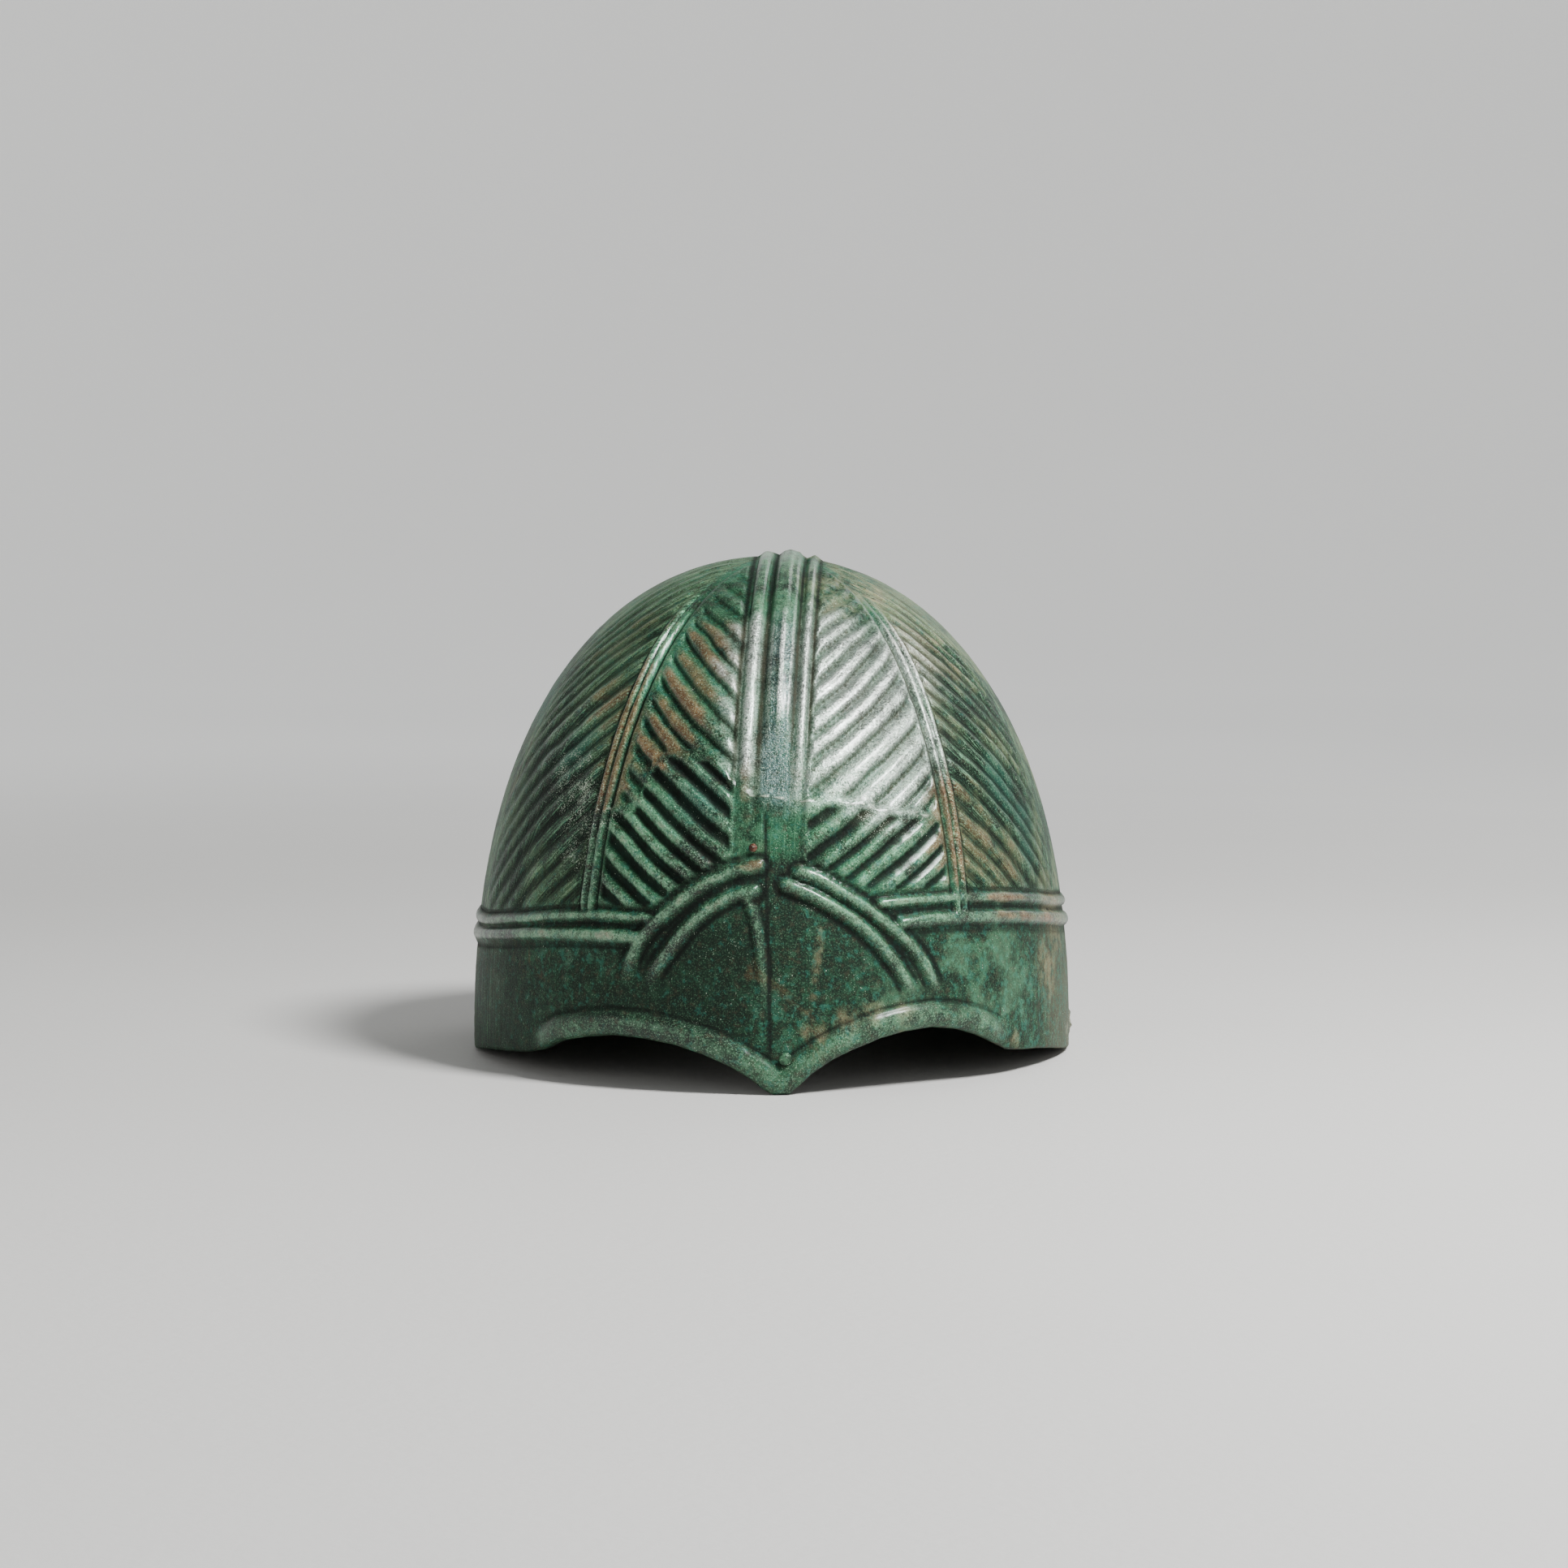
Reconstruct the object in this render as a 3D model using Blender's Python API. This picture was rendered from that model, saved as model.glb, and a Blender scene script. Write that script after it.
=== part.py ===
import math

import bpy
import numpy as np
from mathutils.geometry import delaunay_2d_cdt

# Overall form of the cast bowl, in metres. The front faces -Y.
HALF_WIDTH = 0.0975
HALF_LENGTH = 0.112
HEIGHT = 0.160
WALL = 0.0028
# How full the bowl's profile is: higher powers make squarer shoulders.
WIDTH_POWER = 2.1
HEIGHT_POWER = 2.4
# The relief is laid out round a point a little to one side of the top.
PATTERN_SHIFT = 0.0055

# Relief heights and half widths, in metres
RIB_DEPTH = 0.0013
SIDE_RIB_SPACING = 0.0077
FRONT_RIB_LEAN = 0.068
SIDE_RIB_LEAN = 0.074
# Above this share of the arc the ribs lean less and less towards the top.
LEAN_SHARE = 0.33
RIDGE_AZIMUTH = 37.0
RIDGE_LINE_GAP = 0.0015
RIDGE_HALF = 0.0030
RIDGE_RISE = 0.0016
CREST_ROLL_HALF = 0.0024
CREST_LINE_HALF = 0.0017
CREST_RISE = 0.0025
CREST_SIDE_RISE = 0.0015
BAND_HALF = 0.0022
BAND_RISE = 0.0016
ARCH_HALF = 0.0023
ARCH_RISE = 0.0017
RIM_ROLL = 0.0078
RIM_ROLL_RISE = 0.0020
SEAM_HALF = 0.0008
SEAM_DEPTH = 0.0007
STUD_HALF = 0.0026
STUD_RISE = 0.0016

# Rivets: place in degrees from the front and share of HEIGHT, then radii
TIP_RIVET_PLACE = (2.6, 0.0675)
TIP_RIVET_SHANK = 0.0011
TIP_RIVET_HEAD = 0.0020
CREST_PIN_PLACE = (-3.3, 0.456)
CREST_PIN_SHANK = 0.0007
CREST_PIN_HEAD = 0.0013
TAIL_THICKNESS = 0.0006
FIT_GAP = 0.0003

# How closely the lines and the plain fields are divided, in metres
LINE_STEP = 0.0085
FILL_STEP = 0.0105
FILL_ROOM = 0.0042
INNER_STEP = 0.0140
SNAP = 0.0016
# Lines of the mesh stay this many hole radii away from each rivet hole.
HOLE_ROOM = 1.25

# Lower edge of the bowl: degrees from the front, share of HEIGHT.
# Positive degrees are on the wearer's left, which is the +X side.
RIM_EDGE = (
    (-180.0, 0.0781), (-171.0, 0.0706), (-163.0, 0.05), (-156.0, 0.0187), (-150.0, 0.0),
    (-118.0, 0.0), (-86.0, 0.0), (-80.0, 0.005), (-74.0, 0.0138), (-67.5, 0.0244), (-58.0, 0.035),
    (-50.4, 0.0444), (-45.6, 0.0562), (-41.3, 0.0769), (-35.5, 0.0906), (-29.2, 0.0994),
    (-23.5, 0.0975), (-17.3, 0.0888), (-12.1, 0.0731), (-7.0, 0.0506), (-4.2, 0.0331),
    (-1.6, 0.0125), (0.2, 0.0), (3.2, 0.0), (5.1, 0.0163), (7.2, 0.0375), (10.8, 0.0625),
    (14.5, 0.08), (19.7, 0.0994), (24.6, 0.11), (30.2, 0.1138), (35.6, 0.1056), (40.4, 0.09),
    (44.6, 0.0713), (49.2, 0.0506), (54.0, 0.0444), (59.1, 0.0394), (66.0, 0.0294),
    (73.0, 0.0175), (80.0, 0.0063), (86.0, 0.0), (118.0, 0.0), (150.0, 0.0), (156.0, 0.0187),
    (163.0, 0.05), (171.0, 0.0706), (180.0, 0.0781),
)

# Brow arches, nasal roll and seam: degrees from the front, share of HEIGHT
ARCH_LEFT_OUTER = (
    (5.4, 0.4119), (9.1, 0.3994), (13.6, 0.3713), (18.1, 0.3406), (21.6, 0.3125), (25.2, 0.28),
    (28.2, 0.2437), (30.5, 0.1988), (31.7, 0.1687),
)
ARCH_LEFT_INNER = (
    (2.9, 0.3887), (7.5, 0.37), (12.0, 0.3438), (16.4, 0.3125), (20.2, 0.2731), (23.2, 0.2344),
    (25.4, 0.195), (26.6, 0.1675),
)
ARCH_RIGHT_OUTER = (
    (-2.2, 0.425), (-7.5, 0.4131), (-12.0, 0.3912), (-15.8, 0.365), (-18.9, 0.3369),
    (-22.4, 0.305), (-24.8, 0.2712), (-26.3, 0.2325), (-27.2, 0.1875),
)
ARCH_RIGHT_INNER = (
    (-3.2, 0.3775), (-7.4, 0.3669), (-11.8, 0.3406), (-15.5, 0.305), (-18.4, 0.2669),
    (-21.4, 0.2231), (-22.9, 0.1875),
)
NASAL_ROLL = (
    (-4.4, 0.3625), (-2.9, 0.33), (-1.9, 0.2706), (-1.3, 0.2106), (-0.8, 0.1356),
)
SEAM = (
    (-1.2, 0.5375), (-0.8, 0.4188), (-0.6, 0.3312), (-0.3, 0.225), (-0.2, 0.1375), (0.0, 0.0375),
)

# Double band: degrees from the front, share of HEIGHT. It falls to the
# sides and the two ends of each line stop at the brow arches.
UPPER_BAND = (
    (20.6, 0.35), (26.4, 0.3531), (34.4, 0.3531), (45.8, 0.3463), (59.4, 0.3319), (73.0, 0.3125),
    (90.0, 0.2988), (110.0, 0.3), (130.0, 0.3087), (150.0, 0.3162), (180.0, 0.32),
    (210.0, 0.3125), (230.0, 0.3), (250.0, 0.285), (270.0, 0.2725), (288.2, 0.2756),
    (304.6, 0.2969), (317.1, 0.3144), (326.2, 0.3231), (332.3, 0.3231), (336.8, 0.3225),
)
LOWER_BAND = (
    (24.6, 0.3125), (29.5, 0.3162), (36.9, 0.3162), (47.5, 0.3087), (62.0, 0.2931),
    (77.6, 0.2719), (94.0, 0.2587), (112.0, 0.26), (130.0, 0.2687), (150.0, 0.2775),
    (180.0, 0.2812), (210.0, 0.2737), (230.0, 0.2612), (250.0, 0.2475), (270.0, 0.2387),
    (284.0, 0.2437), (298.6, 0.2594), (313.2, 0.2775), (323.8, 0.285), (330.9, 0.2869),
    (334.8, 0.2869),
)
# Lowest reach of the rib fields, above the arches and the band
FIELD_FLOOR = (
    (-180.0, 0.32), (-150.0, 0.3125), (-130.0, 0.3), (-110.0, 0.285), (-90.0, 0.2725),
    (-71.8, 0.2756), (-55.4, 0.2969), (-42.9, 0.3144), (-33.8, 0.3231), (-23.6, 0.3237),
    (-21.2, 0.3344), (-18.7, 0.3563), (-15.8, 0.375), (-12.0, 0.3975), (-7.5, 0.415),
    (-2.0, 0.425), (5.4, 0.4137), (9.1, 0.4031), (13.6, 0.3787), (17.0, 0.3612), (20.6, 0.3537),
    (34.4, 0.3531), (45.8, 0.3463), (59.4, 0.3319), (73.0, 0.3125), (90.0, 0.2988), (110.0, 0.3),
    (130.0, 0.3087), (150.0, 0.3162), (180.0, 0.32),
)
STUD_PLACE = (87.0, 0.05)
# Ends of the double ridges, as shares of HEIGHT
RIDGE_HEAD = 0.941
RIDGE_FRONT_FOOT = 0.331
RIDGE_BACK_FOOT = 0.316
# Tops of the ribs between crest and ridges, at the crest, as shares of the
# arc from the top. The lower ribs stand closer.
FRONT_RIB_TOPS = (
    0.135, 0.179, 0.223, 0.268, 0.312, 0.356, 0.401, 0.445, 0.490, 0.534, 0.578, 0.619, 0.657,
    0.694, 0.731, 0.767, 0.802, 0.837, 0.872, 0.907, 0.942, 0.977, 1.012,
)
# Where the ribs stop: share of the arc at the top, degrees at the sides
FIELD_TOP = 0.056
FIELD_SIDE = 79.0
FIELD_FADE = 16.0

# Side distances of the crest lines from the pattern's middle line, as
# shares of HALF_WIDTH, by arc length from the top as shares of the whole arc
CREST_SHARES = (0.0, 0.14, 0.25, 0.36, 0.46, 0.58, 0.70)
CREST_LEFT_EDGE = (-0.037, -0.047, -0.055, -0.064, -0.066, -0.066, -0.062)
CREST_RIGHT_EDGE = (0.064, 0.057, 0.052, 0.047, 0.041, 0.035, 0.033)
CREST_LEFT_ROLL = (-0.068, -0.082, -0.094, -0.105, -0.111, -0.117, -0.121)
CREST_RIGHT_ROLL = (0.101, 0.088, 0.080, 0.072, 0.066, 0.059, 0.056)
FRONT_CREST_END = 0.46
BACK_CREST_END = 0.76


def profile_table():
    """Width share, height, arc length from the top and chart radius."""
    near = np.geomspace(0.0005, 0.3, 240)
    angle = np.arccos(0.3 ** (WIDTH_POWER / 2.0))
    far = np.cos(np.linspace(angle, 0.0, 480)[1:]) ** (2.0 / WIDTH_POWER)
    width = np.concatenate((near, far))
    width[-1] = 1.0
    height = HEIGHT * np.maximum(1.0 - width ** WIDTH_POWER, 0.0) ** (1.0 / HEIGHT_POWER)
    radius = 0.5 * (HALF_WIDTH + HALF_LENGTH)
    step = np.hypot(radius * np.diff(width), np.diff(height))
    middle = 0.5 * radius * (width[1:] + width[:-1])
    arc = np.concatenate(([0.0], np.cumsum(step))) + radius * width[0]
    chart = np.concatenate(([0.0], np.cumsum(step / middle)))
    chart = np.exp(chart - chart[-1])
    return width, height, arc, chart


W_TABLE, Z_TABLE, ARC_TABLE, R_TABLE = profile_table()
MEAN_RADIUS = 0.5 * (HALF_WIDTH + HALF_LENGTH)
ARC_TOTAL = float(ARC_TABLE[-1])
CROWN_SCALE = float(R_TABLE[0] / W_TABLE[0])
SHIFT = PATTERN_SHIFT / MEAN_RADIUS * CROWN_SCALE


def radius_at_height(z):
    return np.interp(-np.asarray(z, float), -Z_TABLE, R_TABLE)


def radius_at_arc(arc):
    arc = np.asarray(arc, float)
    near = arc / ARC_TABLE[0] * R_TABLE[0]
    return np.where(arc < ARC_TABLE[0], near, np.interp(arc, ARC_TABLE, R_TABLE))


def width_at_radius(r):
    near = r / CROWN_SCALE
    return np.where(r < R_TABLE[0], near, np.interp(r, R_TABLE, W_TABLE))


def height_at_radius(r):
    return np.interp(r, R_TABLE, Z_TABLE)


def arc_at_radius(r):
    near = r / R_TABLE[0] * ARC_TABLE[0]
    return np.where(r < R_TABLE[0], near, np.interp(r, R_TABLE, ARC_TABLE))


def metres_per_chart(r):
    """Size of one chart unit on the bowl, at a chart radius."""
    r = np.maximum(np.asarray(r, float), 1e-6)
    return MEAN_RADIUS * width_at_radius(r) / r


def chart_point(degrees, share):
    r = radius_at_height(np.asarray(share) * HEIGHT)
    turn = np.radians(degrees)
    return np.stack((r * np.sin(turn), -r * np.cos(turn)), axis=-1)


def bowl_point(chart, inset=0.0):
    """Points of the smooth bowl, or of its inner face, from chart points."""
    chart = np.asarray(chart, float).reshape(-1, 2)
    r = np.hypot(chart[:, 0], chart[:, 1])
    share = width_at_radius(r) / np.maximum(r, 1e-9)
    share = np.where(r < 1e-9, 1.0 / CROWN_SCALE, share)
    x = (HALF_WIDTH - inset) * share * chart[:, 0]
    y = (HALF_LENGTH - inset) * share * chart[:, 1]
    z = (HEIGHT - inset) * height_at_radius(r) / HEIGHT
    return np.stack((x, y, z), axis=1)


def bowl_normal(points):
    wide = np.hypot(points[:, 0] / HALF_WIDTH, points[:, 1] / HALF_LENGTH)
    wide = np.maximum(wide, 1e-9)
    side = WIDTH_POWER * wide ** (WIDTH_POWER - 2.0)
    tall = np.maximum(points[:, 2], 0.0) / HEIGHT
    normal = np.stack((
        side * points[:, 0] / HALF_WIDTH ** 2,
        side * points[:, 1] / HALF_LENGTH ** 2,
        HEIGHT_POWER * tall ** (HEIGHT_POWER - 1.0) / HEIGHT,
    ), axis=1)
    return normal / np.linalg.norm(normal, axis=1)[:, None]


def from_pattern(pattern):
    """Move points of the centred pattern to their place on the chart."""
    pattern = np.asarray(pattern, float).reshape(-1, 2)
    share = 1.0 - np.sum(pattern ** 2, axis=1)
    return pattern + np.stack((SHIFT * share, np.zeros(len(pattern))), axis=1)


def to_pattern(chart):
    chart = np.asarray(chart, float).reshape(-1, 2)
    pattern = chart.copy()
    for _ in range(12):
        share = 1.0 - np.sum(pattern ** 2, axis=1)
        pattern[:, 0] = chart[:, 0] - SHIFT * share
    return pattern


def smooth_path(path, step):
    """A rounded path through chart points, cut at an even spacing."""
    path = np.asarray(path, float)
    before = 2.0 * path[0] - path[1]
    after = 2.0 * path[-1] - path[-2]
    knots = np.vstack((before, path, after))
    fine = []
    for i in range(1, len(knots) - 2):
        a, b, c, d = knots[i - 1], knots[i], knots[i + 1], knots[i + 2]
        for t in np.linspace(0.0, 1.0, 12, endpoint=False):
            fine.append(0.5 * (
                2.0 * b + (c - a) * t + (2.0 * a - 5.0 * b + 4.0 * c - d) * t ** 2
                + (3.0 * b - a - 3.0 * c + d) * t ** 3))
    fine.append(path[-1])
    return even_path(np.array(fine), step)


def even_path(path, step):
    middle = 0.5 * (path[1:] + path[:-1])
    scale = metres_per_chart(np.hypot(middle[:, 0], middle[:, 1]))
    lengths = np.hypot(*(path[1:] - path[:-1]).T) * scale
    along = np.concatenate(([0.0], np.cumsum(lengths)))
    count = max(int(round(along[-1] / step)), 1)
    places = np.linspace(0.0, along[-1], count + 1)
    return np.stack((np.interp(places, along, path[:, 0]),
                     np.interp(places, along, path[:, 1])), axis=1)


def offset_path(path, distance):
    """The path moved sideways over the bowl, to its left as it runs."""
    ahead = np.gradient(path, axis=0)
    ahead /= np.linalg.norm(ahead, axis=1)[:, None]
    side = np.stack((-ahead[:, 1], ahead[:, 0]), axis=1)
    scale = metres_per_chart(np.hypot(path[:, 0], path[:, 1]))
    return path + side * (np.asarray(distance) / scale)[:, None]


def bump(share):
    """A rounded cross section: 1 in the middle, 0 at the foot."""
    return np.maximum(1.0 - np.minimum(np.abs(share), 1.0) ** 2, 0.0)


def ease(share):
    share = np.clip(share, 0.0, 1.0)
    return share * share * (3.0 - 2.0 * share)


class Roll:
    """A raised roll or a sunk groove that follows a path on the bowl."""

    def __init__(self, path, half, rise, fade_start=0.0, fade_end=0.0):
        self.path = path
        count = len(path)
        share = np.linspace(0.0, 1.0, count)
        self.half = np.full(count, float(half))
        level = np.ones(count)
        if fade_start > 0.0:
            level = np.minimum(level, ease(share / fade_start))
        if fade_end > 0.0:
            level = np.minimum(level, ease((1.0 - share) / fade_end))
        self.rise = rise * level
        self.points = bowl_point(path)

    def height(self, points):
        start = self.points[:-1]
        along = self.points[1:] - start
        total = np.sum(along ** 2, axis=1)
        best = np.zeros(len(points))
        for i in range(len(start)):
            t = (points - start[i]) @ along[i] / total[i]
            t = np.clip(t, 0.0, 1.0)
            near = start[i] + t[:, None] * along[i]
            distance = np.linalg.norm(points - near, axis=1)
            half = self.half[i] + t * (self.half[i + 1] - self.half[i])
            rise = self.rise[i] + t * (self.rise[i + 1] - self.rise[i])
            value = rise * bump(distance / half)
            best = np.where(np.abs(value) > np.abs(best), value, best)
        return best

    def lines(self):
        return [self.path, offset_path(self.path, self.half), offset_path(self.path, -self.half)]


def degrees_path(pairs, step=LINE_STEP):
    pairs = np.array(pairs)
    return smooth_path(chart_point(pairs[:, 0], pairs[:, 1]), step)


def crest_path(table, first, last, step=LINE_STEP):
    """A line along the crest, from an arc share at the front to one behind."""
    shares = np.linspace(-first, last, 61)
    side = np.interp(np.abs(shares), CREST_SHARES, table) * HALF_WIDTH
    r = radius_at_arc(np.abs(shares) * ARC_TOTAL)
    across = side / metres_per_chart(r)
    pattern = np.stack((across, np.sign(shares) * r), axis=1)
    return even_path(from_pattern(pattern), step)


def ridge_path(azimuth, side):
    """One line of a double ridge, from near the top down to the band."""
    floor = RIDGE_FRONT_FOOT if abs(azimuth) < 90.0 else RIDGE_BACK_FOOT
    z = np.linspace(RIDGE_HEAD, floor, 40) * HEIGHT
    arc = np.interp(-z, -Z_TABLE, ARC_TABLE)
    r = radius_at_arc(arc)
    turn = np.radians(azimuth) + side / (MEAN_RADIUS * width_at_radius(r))
    pattern = np.stack((r * np.sin(turn), -r * np.cos(turn)), axis=1)
    return even_path(from_pattern(pattern), LINE_STEP)


def rim_path():
    pairs = np.array(RIM_EDGE)
    fine = np.concatenate((
        np.arange(-180.0, -56.0, 3.0), np.arange(-56.0, 56.0, 2.0), np.arange(56.0, 180.0, 3.0)))
    degrees = np.unique(np.concatenate((fine, [0.2, 3.2])))
    degrees = degrees[np.concatenate(([True], np.diff(degrees) > 0.7))]
    z = np.interp(degrees, pairs[:, 0], pairs[:, 1])
    return z * HEIGHT, chart_point(degrees, z)


def rim_roll_path(share):
    """The rolled brow edge, a share of its width above the rim."""
    degrees = np.linspace(-47.5, 47.0, 52)
    pairs = np.array(RIM_EDGE)
    z = np.interp(degrees, pairs[:, 0], pairs[:, 1])
    smooth = HEIGHT * np.convolve(np.pad(z, 1, mode="edge"), (0.25, 0.5, 0.25), mode="valid")
    x = np.radians(degrees) * MEAN_RADIUS
    slope_x = np.gradient(x)
    slope_z = np.gradient(smooth)
    length = np.hypot(slope_x, slope_z)
    lift = RIM_ROLL * share
    new_x = x - slope_z / length * lift
    new_z = smooth + slope_x / length * lift
    keep = np.concatenate(([True], np.diff(new_x) > 0.0012))
    return chart_point(np.degrees(new_x[keep] / MEAN_RADIUS), new_z[keep] / HEIGHT)


def make_rolls():
    rolls = []
    for pairs in (ARCH_LEFT_OUTER, ARCH_LEFT_INNER):
        rolls.append(Roll(degrees_path(pairs, 0.006), ARCH_HALF, ARCH_RISE, 0.0, 0.15))
    for pairs in (ARCH_RIGHT_OUTER, ARCH_RIGHT_INNER):
        rolls.append(Roll(degrees_path(pairs, 0.006), ARCH_HALF, ARCH_RISE, 0.0, 0.25))
    rolls.append(Roll(degrees_path(NASAL_ROLL, 0.007), 0.0015, 0.0010, 0.0, 0.5))
    rolls.append(Roll(degrees_path(UPPER_BAND, 0.010), BAND_HALF, BAND_RISE))
    rolls.append(Roll(degrees_path(LOWER_BAND, 0.010), BAND_HALF, BAND_RISE))
    for azimuth in (RIDGE_AZIMUTH, -RIDGE_AZIMUTH, 180.0 - RIDGE_AZIMUTH, RIDGE_AZIMUTH - 180.0):
        for side in (-RIDGE_LINE_GAP, RIDGE_LINE_GAP):
            path = ridge_path(azimuth, side)
            rolls.append(Roll(path, RIDGE_HALF - RIDGE_LINE_GAP, RIDGE_RISE, 0.3, 0.0))
    left = crest_path(CREST_LEFT_ROLL, 0.56, BACK_CREST_END)
    right = crest_path(CREST_RIGHT_ROLL, 0.56, BACK_CREST_END)
    rolls.append(Roll(left, CREST_ROLL_HALF, CREST_SIDE_RISE, 0.1, 0.0))
    rolls.append(Roll(right, CREST_LINE_HALF, CREST_SIDE_RISE, 0.1, 0.0))
    return rolls


def make_grooves():
    return [Roll(degrees_path(SEAM, 0.009), SEAM_HALF, -SEAM_DEPTH, 0.1, 0.1)]


ROLLS = make_rolls()
GROOVES = make_grooves()
ROLL_TOP = rim_roll_path(0.48)
ROLL_FOOT = rim_roll_path(1.0)


def crest_height(pattern):
    """The broad middle ridge of the crest."""
    r = np.hypot(pattern[:, 0], pattern[:, 1])
    share = arc_at_radius(np.abs(pattern[:, 1])) / ARC_TOTAL
    side = pattern[:, 0] * metres_per_chart(np.abs(pattern[:, 1]))
    left = HALF_WIDTH * np.interp(share, CREST_SHARES, CREST_LEFT_EDGE)
    right = HALF_WIDTH * np.interp(share, CREST_SHARES, CREST_RIGHT_EDGE)
    middle = 0.5 * (left + right)
    across = (side - middle) / (0.5 * (right - left))
    end = np.where(pattern[:, 1] < 0.0, FRONT_CREST_END, BACK_CREST_END)
    fade = ease((end - share) / 0.03)
    return CREST_RISE * fade * np.where(r < 1.0, bump(across), 0.0)


def fold(turn):
    """Degrees from the nearer end of the crest line, front or back."""
    return np.abs(np.where(np.abs(turn) > 90.0, 180.0 - np.abs(turn), turn))


def field_room(chart):
    """Distance from each point to the edge of its rib field, in metres."""
    pattern = to_pattern(chart)
    r = np.hypot(pattern[:, 0], pattern[:, 1])
    folded = fold(np.degrees(np.arctan2(pattern[:, 0], -pattern[:, 1])))
    around = MEAN_RADIUS * width_at_radius(r)
    to_ridge = np.abs(np.radians(folded - RIDGE_AZIMUTH)) * around - RIDGE_HALF
    share = arc_at_radius(np.abs(pattern[:, 1])) / ARC_TOTAL
    side = pattern[:, 0] * metres_per_chart(np.abs(pattern[:, 1]))
    left = HALF_WIDTH * np.interp(share, CREST_SHARES, CREST_LEFT_ROLL) - CREST_ROLL_HALF
    right = HALF_WIDTH * np.interp(share, CREST_SHARES, CREST_RIGHT_ROLL) + CREST_LINE_HALF
    to_crest = np.where(side > 0.0, side - right, left - side)
    true_r = np.hypot(chart[:, 0], chart[:, 1])
    true_turn = np.degrees(np.arctan2(chart[:, 0], -chart[:, 1]))
    pairs = np.array(FIELD_FLOOR)
    floor = HEIGHT * np.interp(true_turn, pairs[:, 0], pairs[:, 1])
    to_floor = height_at_radius(true_r) - floor - max(BAND_HALF, ARCH_HALF)
    to_top = arc_at_radius(r) - FIELD_TOP * ARC_TOTAL
    to_side = np.radians(FIELD_SIDE - folded) * around
    return np.minimum.reduce((to_ridge, to_crest, to_floor, to_top, to_side))


def rib_level(arc, degrees, lean):
    """Arc level of a place on a rib, as the rib leaves its own edge."""
    return arc + lean * np.minimum(arc / (LEAN_SHARE * ARC_TOTAL), 1.0) * np.radians(degrees)


def rib_height(chart):
    """Slanted ribs that rise from the crest and fall from the ridges."""
    pattern = to_pattern(chart)
    r = np.hypot(pattern[:, 0], pattern[:, 1])
    folded = fold(np.degrees(np.arctan2(pattern[:, 0], -pattern[:, 1])))
    arc = arc_at_radius(r)
    tops = np.array(FRONT_RIB_TOPS) * ARC_TOTAL
    front = np.interp(rib_level(arc, folded, FRONT_RIB_LEAN), tops, np.arange(len(tops)) + 0.5)
    side = rib_level(arc, folded - RIDGE_AZIMUTH, -SIDE_RIB_LEAN) / SIDE_RIB_SPACING
    phase = np.where(folded < RIDGE_AZIMUTH, front, side) % 1.0
    wave = 1.0 - np.abs(2.0 * phase - 1.0)
    fade = ease((FIELD_SIDE - folded) / FIELD_FADE)
    room = ease(field_room(chart) / 0.0004)
    return RIB_DEPTH * wave * fade * room


def rib_levels():
    """Arc levels of all rib tops and of the hollows between them."""
    tops = np.array(FRONT_RIB_TOPS) * ARC_TOTAL
    front = np.sort(np.concatenate((tops, 0.5 * (tops[1:] + tops[:-1]))))
    side = 0.5 * SIDE_RIB_SPACING * np.arange(1, int(2.0 * ARC_TOTAL / SIDE_RIB_SPACING))
    return front, side


def rib_lines():
    """Tops and hollows of all the ribs as short paths on the chart."""
    lines = []
    front, side = rib_levels()
    arcs = np.linspace(0.8 * FIELD_TOP, 0.88, 900) * ARC_TOTAL
    fields = (
        (2.0, RIDGE_AZIMUTH - 0.5, front, 0.0, FRONT_RIB_LEAN),
        (RIDGE_AZIMUTH + 0.5, FIELD_SIDE - 1.0, side, RIDGE_AZIMUTH, -SIDE_RIB_LEAN),
    )
    for start, end, levels, origin, lean in fields:
        turns = np.linspace(start, end, 60)
        for level in levels:
            reach = []
            for turn in turns:
                levels_here = rib_level(arcs, turn - origin, lean)
                reach.append(np.interp(level, levels_here, arcs, 0.0, 0.0))
            reach = np.array(reach)
            kept = reach > 0.0
            if kept.sum() < 4:
                continue
            r = radius_at_arc(reach[kept])
            for mirror in (1.0, -1.0):
                for back in (False, True):
                    turn = 180.0 - turns[kept] if back else turns[kept]
                    turn = np.radians(turn) * mirror
                    pattern = np.stack((r * np.sin(turn), -r * np.cos(turn)), axis=1)
                    chart = from_pattern(pattern)
                    lines.extend(runs(chart, field_room(chart) > 0.00042))
    return lines


def runs(path, keep):
    """The kept stretches of a path, cut at an even spacing."""
    found = []
    start = None
    for i, good in enumerate(list(keep) + [False]):
        if good and start is None:
            start = i
        if not good and start is not None:
            piece = path[start:i]
            start = None
            if len(piece) > 3:
                scale = metres_per_chart(np.hypot(piece[:, 0], piece[:, 1])).mean()
                length = np.hypot(*np.diff(piece, axis=0).T).sum() * scale
                if length > 0.0045:
                    found.append(even_path(piece, LINE_STEP))
    return found


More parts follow.
